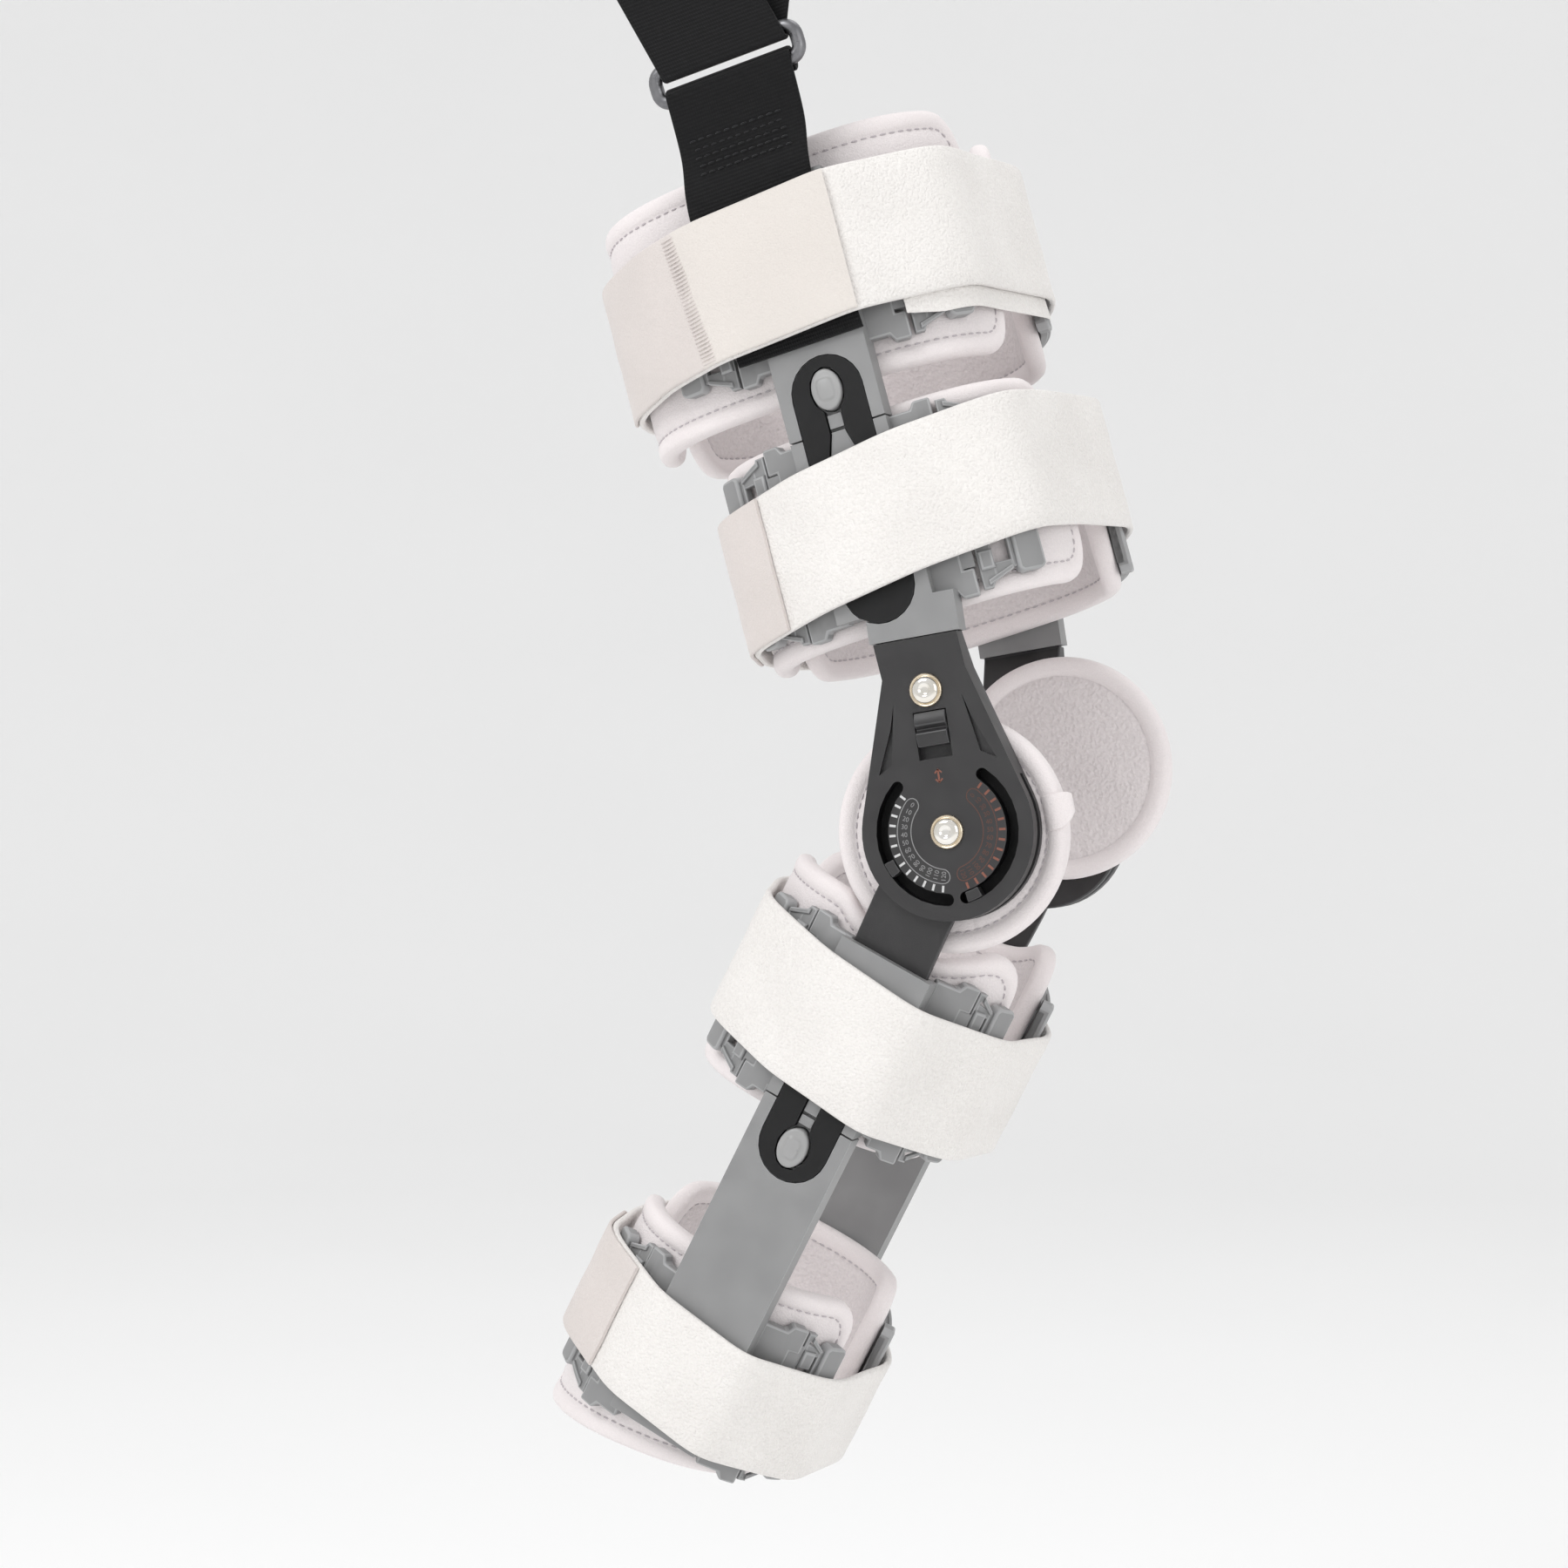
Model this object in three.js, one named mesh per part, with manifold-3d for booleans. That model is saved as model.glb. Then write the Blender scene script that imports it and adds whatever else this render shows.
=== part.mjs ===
// A hinged knee brace for a right leg, as worn with the knee bent about forty degrees.
// Millimetres. The origin is the knee axis midway between the two hinges, +X is forward, -Y is the
// outer (lateral) side of the leg and +Z is up.
//
// Every upright is drawn once, in a frame of its own: x forward, y across the leg, w along the limb
// away from the knee. The thigh uses it as it stands, the calf turns it upside down, and the inner
// (medial) side of the leg is its mirror image.
import * as THREE from 'three';
import { mergeVertices } from 'three/addons/utils/BufferGeometryUtils.js';
import Module from 'manifold-3d';

const wasm = await Module();
wasm.setup();

// Driving dimensions

const THIGH_LEAN = 15.4;      // degrees that the thigh leans back from upright
const CALF_LEAN = 27.4;       // degrees that the shin runs back from upright
const HINGE_TILT = 6.5;        // degrees that the hinge housing leans forward of the thigh
const GAP = 0.35;             // clearance between neighbouring pieces

const PAD_THICK = 9;
const PAD_CORNER = 18;
const PAD_EDGE = 4;           // how far the pad's rim is rounded off
const PAD_FRONT_GAP = 20;     // from a pad's end to the middle of the limb's front
const PAD_BACK_GAP = 8;       // from a pad's end to the middle of the limb's back
const KNEE_CLEARANCE = 48.5;  // the calf pads stay outside this radius about the knee

const PLATE_THICK = 9;
const PLATE_HALF = 19;        // half the plate's width
const PLATE_REACH = 8;        // how far a plate runs past its strap's edge
const WALL = 1.2;             // the plate's back wall
const ARM_THICK = 2.8;        // steel bar of the hinge
const CHANNEL_DEEP = 3.4;     // groove for the slide in the plate's face

const EAR = { from: 8, to: 33, low: 15, high: 27, thick: 5 };       // about the strap's middle
const WING = { from: 29, root: 8, tip: 3, thick: 3 };           // root and tip: past the strap's edge
const LUG = { length: 10, reach: 8, thick: 1.8 };               // raised bar at a wing's end
const WING_SLOT = { from: 11.5, to: 16, short: 3 };             // back from the wing's end

const STRAP_THICK = 2.5;
const STRAP_EASE = 1.2;       // a strap stands this far off the corners that it turns round
const TAB_THICK = 1.8;        // the hook tab that closes a strap
const STRAP_STEP = 4.2;       // spacing of the sections along a strap
const WALL_STEP = 7;          // and along a wing or an ear

const SLIDE_HALF = 13.7;
const SLIDE_THICK = 3;
// Half the gap between a slide's legs, which widens over a run, and the rib's clearance in it.
const SLOT = { waist: 3.2, wide: 6, run: 9, clear: 0.5 };
const BUTTON = { half: 5.7, length: 15.4, proud: 1.2, deep: 4, travel: 2, inset: 12.7 };

const HINGE_FACE = 70;        // outer face of the hinge, from the middle of the knee
const COVER_THICK = 5;
const BACK_THICK = 3;
const DIAL_RADIUS = 32.5;
const DISC_RADIUS = 27.5;       // round end of the lower arm
const NECK_HALF = 16;
const NECK_FROM = 58;
const NECK_TO = 71;
const NECK_LAP = 6;           // how far the neck laps down over the dial
const TONGUE_TO = 84;
const ARM_HALF = 15.7;
const ARM_RUN = { bendFrom: 34, bendTo: 51, end: 71 };          // along the limb from the pivot
const STOP_RADIUS = 24.7;      // middle of the two curved stop slots
const STOP_WIDTH = 4.5;
const STOP_FROM = 41;         // degrees from the top of the dial
const STOP_TO = 172;
const EXTENSION_KEY_AT = 114;
const FLEXION_KEY_AT = 165;
const KEY_SPAN = 12.6;        // degrees of the slot that a key fills
const SCREW = { head: 6, shaft: 3.8, height: 2.6, clearance: 0.35 };
const UPPER_SCREW_AT = 52;
const LOCK = { half: 6, low: 27, high: 44.5, length: 12.5, deep: 4 };

// A sunk triangle on each side of the lock's window: its corners across and up from the pivot.
const RECESS = { corners: [[13, 49], [15.5, 40], [22.5, 24], [17, 27]], deep: 1.6 };

const KNEE_PAD = { radius: 44, thick: 11.3 };

const WEBBING_HALF = 25;
const WEBBING_THICK = 1.8;
const RING_WIRE = 2.6;        // radius of the ring's bars

// Each limb segment: the section at the pads' outer faces, and the telescope's places along it.
const SEGMENTS = {
  thigh: { up: 1, halfWidth: 65.5, squareness: 3, split: 152,
    slideFrom: 79, slotFrom: 94, flareAt: 151, slideTo: 180, travel: 45 },
  calf: { up: -1, halfWidth: 57.3, squareness: 2.3, split: 118,
    slideFrom: 64.5, slotFrom: 72, flareAt: 113, slideTo: 144.5, travel: 40 },
};

// One row for each cuff. near and far are the pad's edges towards and away from the knee, at the
// limb's back and front; rise lifts the strap's front edge, in degrees; tab is the hook tab's run;
// lowered is how far the wings' upper edges stop short, so that they stay under the strap.
const CUFFS = [
  { name: 'upper_thigh', segment: 'thigh', outer: true, strapAt: 216.5, strapHeight: 54, rise: 3,
    near: { back: 168, front: 169 }, far: { back: 259, front: 265 },
    halfDepth: 74.5, centreX: -14, tab: { from: -112, to: 20 }, lowered: 11 },
  { name: 'lower_thigh', segment: 'thigh', outer: false, strapAt: 117, strapHeight: 52, rise: 7,
    near: { back: 76, front: 79 }, far: { back: 155, front: 158 },
    halfDepth: 65.5, centreX: 1, tab: { from: -100, to: -37 }, lowered: 0 },
  { name: 'upper_calf', segment: 'calf', outer: false, strapAt: 86.5, strapHeight: 51, rise: 4.5,
    near: { back: 41, front: 36 }, far: { back: 130, front: 122 },
    halfDepth: 53.5, centreX: -11, tab: null, lowered: 0 },
  { name: 'lower_calf', segment: 'calf', outer: true, strapAt: 228, strapHeight: 44, rise: 5.5,
    near: { back: 188, front: 182 }, far: { back: 283, front: 257 },
    halfDepth: 51.5, centreX: -7, tab: { from: -92, to: -34 }, lowered: 0 },
];

// The hidden inner side has a plain hinge with no stops, lock or moving buttons. Its front wings
// come further round, and its knee pad sits forward of the hinge and above it. reach is how far the
// back and front wings run from the upright.
const SIDES = [
  { name: 'lateral', mirror: 1, plain: false,
    reach: { thigh: [57, 57], calf: [57, 53] }, pad: { x: -3, z: 0 } },
  { name: 'medial', mirror: -1, plain: true,
    reach: { thigh: [57, 88], calf: [57, 62] }, pad: { x: 16, z: 20 } },
];

const MATERIALS = {
  pad: new THREE.MeshStandardMaterial({ color: 0xe6e0e4, roughness: 0.9 }),
  strap: new THREE.MeshStandardMaterial({ color: 0xf4f1ee, roughness: 0.85 }),
  strapTab: new THREE.MeshStandardMaterial({ color: 0xe4dfda, roughness: 0.8 }),
  plate: new THREE.MeshStandardMaterial({ color: 0x969696, roughness: 0.45 }),
  slide: new THREE.MeshStandardMaterial({ color: 0x2b2a2a, roughness: 0.5 }),
  button: new THREE.MeshStandardMaterial({ color: 0xa9a8a6, roughness: 0.4 }),
  hinge: new THREE.MeshStandardMaterial({ color: 0x474545, roughness: 0.5 }),
  screw: new THREE.MeshStandardMaterial({ color: 0xd9d4cc, roughness: 0.15, metalness: 1 }),
  webbing: new THREE.MeshStandardMaterial({ color: 0x18171a, roughness: 0.85 }),
  ring: new THREE.MeshStandardMaterial({ color: 0x8d8d90, roughness: 0.35, metalness: 1 }),
};

const radians = THREE.MathUtils.degToRad;

// Solids

function solid(geometry) {
  const bare = geometry.index ? geometry.toNonIndexed() : geometry.clone();
  bare.deleteAttribute('normal');
  bare.deleteAttribute('uv');
  const merged = mergeVertices(bare, 1e-4);
  return new wasm.Manifold(new wasm.Mesh({
    numProp: 3,
    vertProperties: merged.attributes.position.array,
    triVerts: new Uint32Array(merged.index.array),
  }));
}

function toGeometry(manifold) {
  const { vertProperties, triVerts } = manifold.getMesh();
  const geometry = new THREE.BufferGeometry();
  geometry.setAttribute('position', new THREE.BufferAttribute(vertProperties, 3));
  geometry.setIndex(new THREE.BufferAttribute(triVerts, 1));
  geometry.computeVertexNormals();
  return geometry;
}

function join(first, ...others) {
  return toGeometry(others.reduce((sum, g) => sum.add(solid(g)), solid(first)));
}

function cut(first, ...others) {
  return toGeometry(others.reduce((rest, g) => rest.subtract(solid(g)), solid(first)));
}

function block(x, y, z) {
  const sizes = [x, y, z].map(([low, high]) => high - low);
  const middles = [x, y, z].map(([low, high]) => (low + high) / 2);
  return new THREE.BoxGeometry(...sizes).translate(...middles);
}

// A shape drawn in x and z, filling y from near to far.
function extrudeAcross(shape, near, far, curveSegments = 6) {
  const [low, high] = [Math.min(near, far), Math.max(near, far)];
  return new THREE.ExtrudeGeometry(shape, { depth: high - low, bevelEnabled: false, curveSegments })
    .rotateX(Math.PI / 2).translate(0, high, 0);
}

// A shape drawn in y and z, filling x from low to high.
function extrudeAlongX(shape, low, high, curveSegments = 8) {
  const turn = new THREE.Matrix4().makeBasis(
    new THREE.Vector3(0, 1, 0), new THREE.Vector3(0, 0, 1), new THREE.Vector3(1, 0, 0));
  return new THREE.ExtrudeGeometry(shape, { depth: high - low, bevelEnabled: false, curveSegments })
    .applyMatrix4(turn).translate(low, 0, 0);
}

// A closed skin through sections of equal point count, capped at its ends unless it closes on itself.
function sweep(sections, closed = false) {
  const count = sections[0].length;
  const positions = sections.flat().flatMap((p) => [p.x, p.y, p.z]);
  const index = [];
  const spans = closed ? sections.length : sections.length - 1;
  for (let i = 0; i < spans; i++) {
    const here = i * count;
    const next = ((i + 1) % sections.length) * count;
    for (let j = 0; j < count; j++) {
      const k = (j + 1) % count;
      index.push(here + j, next + j, next + k, here + j, next + k, here + k);
    }
  }
  if (!closed) {
    const last = (sections.length - 1) * count;
    for (let j = 1; j < count - 1; j++) {
      index.push(0, j, j + 1, last, last + j + 1, last + j);
    }
  }
  const geometry = new THREE.BufferGeometry();
  geometry.setAttribute('position', new THREE.Float32BufferAttribute(positions, 3));
  geometry.setIndex(signedVolume(positions, index) < 0 ? turnedRound(index) : index);
  geometry.computeVertexNormals();
  return geometry;
}

function signedVolume(positions, index) {
  const corner = (i) => new THREE.Vector3().fromArray(positions, 3 * i);
  let volume = 0;
  for (let i = 0; i < index.length; i += 3) {
    volume += corner(index[i]).dot(corner(index[i + 1]).cross(corner(index[i + 2]))) / 6;
  }
  return volume;
}

function turnedRound(index) {
  return index.map((_, i) => index[3 * Math.floor(i / 3) + (3 - (i % 3)) % 3]);
}

// The limb's section: a rounded oval that the pads lie inside and the plates and wings lie outside.
// Places on it are arc lengths from the upright at x = 0, positive towards the front.
class Section {
  constructor({ halfDepth, centreX }, { halfWidth, squareness }) {
    const samples = 720;
    const bend = (c) => Math.sign(c) * Math.abs(c) ** (2 / squareness);
    this.points = [];
    let length = 0;
    for (let i = 0; i <= samples; i++) {
      const t = -Math.PI + (2 * Math.PI * i) / samples;
      const across = bend(Math.sin(t));
      const out = bend(Math.cos(t));
      const point = { x: centreX + halfDepth * across, y: -halfWidth * out };
      const slope = (c, size) => (Math.sign(c) * Math.abs(c) ** (squareness - 1)) / size;
      const [nx, ny] = [slope(across, halfDepth), -slope(out, halfWidth)];
      const size = Math.hypot(nx, ny);
      const before = this.points.at(-1);
      length += before ? Math.hypot(point.x - before.x, point.y - before.y) : 0;
      this.points.push({ ...point, nx: nx / size, ny: ny / size, s: length });
    }
    const upright = this.points.find((p) => p.y < 0 && p.x >= 0).s;
    this.points.forEach((p) => { p.s -= upright; });
    this.front = this.points[Math.round(samples * 0.75)].s;
    this.back = this.points[Math.round(samples * 0.25)].s;
  }

  at(s, outward = 0) {
    const after = Math.max(1, this.points.findIndex((p) => p.s >= s));
    const [a, b] = [this.points[after - 1], this.points[after]];
    const share = (s - a.s) / (b.s - a.s);
    const mix = (key) => a[key] + (b[key] - a[key]) * share;
    return new THREE.Vector2(mix('x') + mix('nx') * outward, mix('y') + mix('ny') * outward);
  }
}

// A curved wall along the limb's section, its height running straight from one end to the other.
function wall(section, { from, to, inner, outer, ...heights }) {
  const { startLow, startHigh, endLow = startLow, endHigh = startHigh } = heights;
  const steps = Math.max(1, Math.ceil(Math.abs(to - from) / WALL_STEP));
  const sections = [];
  for (let i = 0; i <= steps; i++) {
    const share = i / steps;
    const s = from + (to - from) * share;
    const low = startLow + (endLow - startLow) * share;
    const high = startHigh + (endHigh - startHigh) * share;
    const [p, q] = [section.at(s, inner), section.at(s, outer)];
    const corners = [[p, low], [q, low], [q, high], [p, high]];
    sections.push(corners.map(([v, w]) => new THREE.Vector3(v.x, v.y, w)));
  }
  return sweep(sections);
}

// Soft pieces

// A pad wraps half the limb: rounded corners in outline, and a rounded rim in section.
function padGeometry(cuff, section, segment) {
  const from = section.back + PAD_BACK_GAP;
  const to = section.front - PAD_FRONT_GAP;
  const steps = 18;
  const sections = [];
  for (let i = 0; i <= steps; i++) {
    const s = from + ((to - from) * (1 - Math.cos((Math.PI * i) / steps))) / 2;
    const inset = THREE.MathUtils.clamp(PAD_CORNER - Math.min(s - from, to - s), 0, PAD_CORNER);
    const rounding = PAD_CORNER - Math.sqrt(PAD_CORNER ** 2 - inset ** 2);
    const share = (s - from) / (to - from);
    const { x } = section.at(s);
    const clear = segment.up < 0 ? Math.sqrt(Math.max(0, KNEE_CLEARANCE ** 2 - x ** 2)) : 0;
    const near = Math.max(clear, THREE.MathUtils.lerp(cuff.near.back, cuff.near.front, share) + rounding);
    const far = THREE.MathUtils.lerp(cuff.far.back, cuff.far.front, share) - rounding;
    const fullness = i === 0 || i === steps ? 0.25 : 1;
    const profile = [[near, 0.5], [near + PAD_EDGE, 0.06], [(near + far) / 2, 0], [far - PAD_EDGE, 0.06],
      [far, 0.5], [far - PAD_EDGE, 0.94], [(near + far) / 2, 1], [near + PAD_EDGE, 0.94]];
    sections.push(profile.map(([w, depth]) => {
      const p = section.at(s, -PAD_THICK * (0.5 + (depth - 0.5) * fullness));
      return new THREE.Vector3(p.x, p.y, w);
    }));
  }
  return sweep(sections);
}

function kneePadGeometry({ x, z }) {
  const back = HINGE_BACK - GAP;
  const profile = [[0, 0], [0.86, 0.02], [0.97, 0.22], [1, 0.5], [0.97, 0.78], [0.86, 0.98], [0, 1]];
  const points = profile.map(([r, share]) =>
    new THREE.Vector2(KNEE_PAD.radius * r, -back + KNEE_PAD.thick * (1 - share)));
  return new THREE.LatheGeometry(points.reverse(), 24).translate(x, 0, z);
}

// The path of a strap pulled tight: the convex outline of all that it goes round.
function strapPath(cuff, section, segment) {
  const points = [];
  for (const side of SIDES) {
    const overWebbing = cuff.name === 'upper_thigh' && !side.plain;
    const face = plateFace(segment) - (overWebbing ? WEBBING_THICK + GAP : 0);
    const edges = overWebbing ? [-WEBBING_HALF - 9, WEBBING_HALF - 5] : [-PLATE_HALF, PLATE_HALF];
    const own = edges.map((x) => new THREE.Vector2(x, face));
    const [back, front] = side.reach[cuff.segment];
    for (const end of [-back, front]) {
      for (let inset = 0; inset <= LUG.length; inset += 2) {
        own.push(section.at(end - Math.sign(end) * inset, GAP + WING.thick + LUG.thick));
      }
    }
    for (let s = section.back + PAD_BACK_GAP; s <= section.front - PAD_FRONT_GAP; s += 3) {
      own.push(section.at(s, Math.abs(s) < back ? GAP + WING.thick : 0));
    }
    points.push(...own.map((p) => new THREE.Vector2(p.x, side.mirror * p.y)));
  }
  return new TightLoop(hull(points));
}

function hull(points) {
  const sorted = [...points].sort((a, b) => a.x - b.x || a.y - b.y);
  const turn = (o, a, b) => (a.x - o.x) * (b.y - o.y) - (a.y - o.y) * (b.x - o.x);
  const chain = (list) => {
    const kept = [];
    for (const p of list) {
      while (kept.length > 1 && turn(kept.at(-2), kept.at(-1), p) <= 0) kept.pop();
      kept.push(p);
    }
    return kept.slice(0, -1);
  };
  return [...chain(sorted), ...chain(sorted.reverse())];
}

// A closed polygon measured by arc length from its outer-side crossing of x = 0.
class TightLoop {
  constructor(corners) {
    this.corners = corners;
    this.ends = [];
    let length = 0;
    corners.forEach((p, i) => {
      length += p.distanceTo(corners[(i + 1) % corners.length]);
      this.ends.push(length);
    });
    this.length = length;
    const first = corners.findIndex((p, i) => {
      const next = corners[(i + 1) % corners.length];
      return p.y < 0 && p.x <= 0 && next.x > 0;
    });
    this.start = (first ? this.ends[first - 1] : 0) - corners[first].x;
    this.stations = this.bends();
  }

  // Even steps, less those where the path runs straight on.
  bends() {
    const count = Math.round(this.length / STRAP_STEP);
    const steps = Array.from({ length: count }, (_, i) => (i / count - 0.5) * this.length);
    const kept = [steps[0]];
    for (let i = 1; i < count; i++) {
      const next = i + 1 < count ? steps[i + 1] : this.length / 2;
      const [a, b, c] = [kept.at(-1), steps[i], next].map((s) => this.at(s, 0.01));
      const bow = Math.abs((b.x - a.x) * (c.y - a.y) - (b.y - a.y) * (c.x - a.x)) / a.distanceTo(c);
      if (bow > 0.12 || next - kept.at(-1) > 40) kept.push(steps[i]);
    }
    return kept;
  }

  point(s) {
    const along = THREE.MathUtils.euclideanModulo(s + this.start, this.length);
    const i = this.ends.findIndex((end) => end >= along);
    const [a, b] = [this.corners[i], this.corners[(i + 1) % this.corners.length]];
    const share = 1 - (this.ends[i] - along) / a.distanceTo(b);
    return a.clone().lerp(b, share);
  }

  at(s, outward) {
    const reach = 4;
    const tangent = this.point(s + reach).sub(this.point(s - reach)).normalize();
    return this.point(s).add(new THREE.Vector2(tangent.y, -tangent.x).multiplyScalar(outward));
  }
}

// A flat band on a strap's path; the strap closes on itself and a tab has two ends. Both use the
// path's own stations, so that a tab lies flat on its strap.
function strapGeometry(cuff, path, { from, to, inner, thick, trim }) {
  const closed = from === undefined;
  const slope = Math.tan(radians(cuff.rise));
  const half = cuff.strapHeight / 2 - trim;
  const stations = path.stations.filter((s) => closed || (s > from && s < to));
  const sections = stations.map((s) => {
    const [p, q] = [path.at(s, inner), path.at(s, inner + thick)];
    const middle = cuff.strapAt + slope * p.x;
    return [[p, -half], [q, -half], [q, half], [p, half]]
      .map(([v, w]) => new THREE.Vector3(v.x, v.y, middle + w));
  });
  return sweep(sections, closed);
}

// Cuff plates, wings and the telescopic slide

const plateBack = (segment) => -(segment.halfWidth + GAP);
const plateFace = (segment) => plateBack(segment) - PLATE_THICK;

function stadium(half, low, high) {
  const shape = new THREE.Shape();
  shape.absarc(0, low + half, half, Math.PI, 2 * Math.PI, false);
  shape.absarc(0, high - half, half, 0, Math.PI, false);
  shape.closePath();
  return shape;
}

function ovalAt(w, half, length) {
  const shape = new THREE.Shape();
  shape.absellipse(0, w, half, length / 2, 0, 2 * Math.PI, false);
  return shape;
}

const buttonAt = (segment) => segment.slideTo - BUTTON.inset;

// Four ears at the plate's corners, which the wings hang on.
function plateEars(cuff, section, margin = 0) {
  return [-1, 1].flatMap((side) => [-1, 1].map((end) => {
    const heights = [end * (EAR.low - margin), end * (EAR.high + margin)].sort((a, b) => a - b);
    return wall(section, {
      from: side * EAR.from, to: side * (EAR.to + margin),
      startLow: cuff.strapAt + heights[0], startHigh: cuff.strapAt + heights[1],
      inner: GAP - margin, outer: EAR.thick + margin,
    });
  }));
}

// A wing carries the strap's pull out from the plate and ends in a raised lug.
function wingGeometry(cuff, section, end) {
  const out = Math.sign(end);
  const half = cuff.strapHeight / 2;
  const [low, high] = [cuff.strapAt - half, cuff.strapAt + half - cuff.lowered];
  const span = (reachStart, reachEnd) => ({
    startLow: low - reachStart, startHigh: high + reachStart,
    endLow: low - reachEnd, endHigh: high + reachEnd,
  });
  const body = wall(section, {
    from: out * WING.from, to: end, ...span(WING.root, WING.tip), inner: GAP, outer: GAP + WING.thick });
  const lug = wall(section, {
    from: end - out * LUG.length, to: end, ...span(LUG.reach, LUG.reach),
    inner: GAP, outer: GAP + WING.thick + LUG.thick });
  const slot = wall(section, {
    from: end - out * WING_SLOT.to, to: end - out * WING_SLOT.from,
    ...span(-WING_SLOT.short, -WING_SLOT.short), inner: -2, outer: WING.thick + 2 });
  return cut(join(body, lug), slot, ...plateEars(cuff, section, 0.9));
}

// The groove in a plate's face that the slide lies in.
function slideChannel(segment) {
  const face = plateFace(segment);
  const shape = stadium(SLIDE_HALF + GAP, segment.slideFrom - GAP, segment.slideTo + GAP);
  return extrudeAcross(shape, face + CHANNEL_DEEP, face - 1);
}

const slotHalf = (segment, w) =>
  SLOT.waist + (SLOT.wide - SLOT.waist) * Math.min(1, Math.max(0, (segment.flareAt - w) / SLOT.run));

// The gap between a slide's legs, narrow by the button and wider towards the knee.
function slotOutline(segment, low, high, clear = 0) {
  const bends = [segment.flareAt - SLOT.run, segment.flareAt].filter((w) => w > low && w < high);
  const edge = [low, ...bends, high].map((w) => [slotHalf(segment, w) - clear, w]);
  return polygon([...edge, ...edge.map(([half, w]) => [-half, w]).reverse()]);
}

// Ribs stand in the groove between the slide's legs, so that the slide runs true.
function rib(segment, low, high) {
  const face = plateFace(segment);
  return extrudeAcross(slotOutline(segment, low, high, SLOT.clear), face + 1, face + CHANNEL_DEEP + 0.5);
}

// The plate next to the knee, hollowed for the hinge's bar.
function innerPlateGeometry(cuff, section, segment, socket) {
  const [low, high] = [cuff.strapAt - cuff.strapHeight / 2 - PLATE_REACH, segment.split - GAP];
  const slotEnd = segment.slotFrom + segment.travel + 1;
  const body = block([-PLATE_HALF, PLATE_HALF], [plateFace(segment), plateBack(segment)], [low, high]);
  const blank = join(body, ...plateEars(cuff, section), ...socket.stem);
  const shell = cut(blank, slideChannel(segment), socket.hollow);
  return join(shell, rib(segment, slotEnd, high));
}

// The far plate and the sleeve that carries the slide are one moulding.
function outerPlateGeometry(cuff, section, segment) {
  const [low, high] = [segment.split + GAP, cuff.strapAt + cuff.strapHeight / 2 + PLATE_REACH / 2];
  const face = plateFace(segment);
  const body = block([-PLATE_HALF, PLATE_HALF], [face, plateBack(segment)], [low, high]);
  const well = extrudeAcross(
    ovalAt(buttonAt(segment), BUTTON.half + 0.5, BUTTON.length + 1),
    face + BUTTON.deep + BUTTON.travel + 0.5, face - 1);
  const shell = cut(join(body, ...plateEars(cuff, section)), slideChannel(segment), well);
  return join(shell, rib(segment, low + 0.6, buttonAt(segment) - BUTTON.length / 2 - 1.6));
}

// The black slide: a long loop whose legs straddle the ribs, with an eye for the release button.
function slideGeometry(segment, plain) {
  const outside = plateFace(segment) + CHANNEL_DEEP - GAP;
  const near = outside - SLIDE_THICK;
  const bar = extrudeAcross(stadium(SLIDE_HALF, segment.slideFrom, segment.slideTo), outside, near);
  const eye = buttonAt(segment);
  const slot = extrudeAcross(slotOutline(segment, segment.slotFrom, eye), near - 1, outside + 1);
  const opening = extrudeAcross(ovalAt(eye, BUTTON.half + 1, BUTTON.length + 2), outside + 1, near - 1);
  if (!plain) return cut(bar, slot, opening);
  const boss = extrudeAcross(ovalAt(eye, BUTTON.half, BUTTON.length), outside, near - BUTTON.proud);
  const shortSlot = extrudeAcross(
    slotOutline(segment, segment.slotFrom, eye - BUTTON.length / 2 - 1.5), near - 1, outside + 1);
  return join(cut(bar, shortSlot), boss);
}

function buttonGeometry(segment) {
  const face = plateFace(segment);
  const oval = ovalAt(buttonAt(segment), BUTTON.half, BUTTON.length);
  return extrudeAcross(oval, face + BUTTON.deep, face - BUTTON.proud);
}

// Hinge

const tilted = (geometry) => geometry.rotateY(radians(HINGE_TILT));

function teardrop() {
  const reach = Math.hypot(NECK_HALF, NECK_FROM);
  const tangent = Math.atan2(NECK_FROM, NECK_HALF) - Math.acos(DIAL_RADIUS / reach);
  const shape = new THREE.Shape();
  shape.moveTo(NECK_HALF, NECK_FROM);
  shape.lineTo(-NECK_HALF, NECK_FROM);
  shape.absarc(0, 0, DIAL_RADIUS, Math.PI - tangent, 2 * Math.PI + tangent, false);
  shape.closePath();
  return shape;
}

// An arc of even width about the pivot; angles run from the top of the dial, negative to the back.
function arcBand(radius, width, from, to, roundEnds = true) {
  const turn = (degrees) => Math.PI / 2 - radians(degrees);
  const [a, b] = [turn(Math.max(from, to)), turn(Math.min(from, to))];
  const end = (angle) => [radius * Math.cos(angle), radius * Math.sin(angle), width / 2];
  const shape = new THREE.Shape();
  shape.absarc(0, 0, radius + width / 2, a, b, false);
  if (roundEnds) shape.absarc(...end(b), b, b + Math.PI, false);
  shape.absarc(0, 0, radius - width / 2, b, a, true);
  if (roundEnds) shape.absarc(...end(a), a + Math.PI, a + 2 * Math.PI, false);
  shape.closePath();
  return shape;
}

function cylinderAcross(radius, near, far, z = 0, segments = 7) {
  const shape = new THREE.Shape();
  shape.absarc(0, z, radius, 0, 2 * Math.PI, false);
  return extrudeAcross(shape, near, far, segments);
}

function polygon(points) {
  return new THREE.Shape(points.map(([a, b]) => new THREE.Vector2(a, b)));
}

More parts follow.
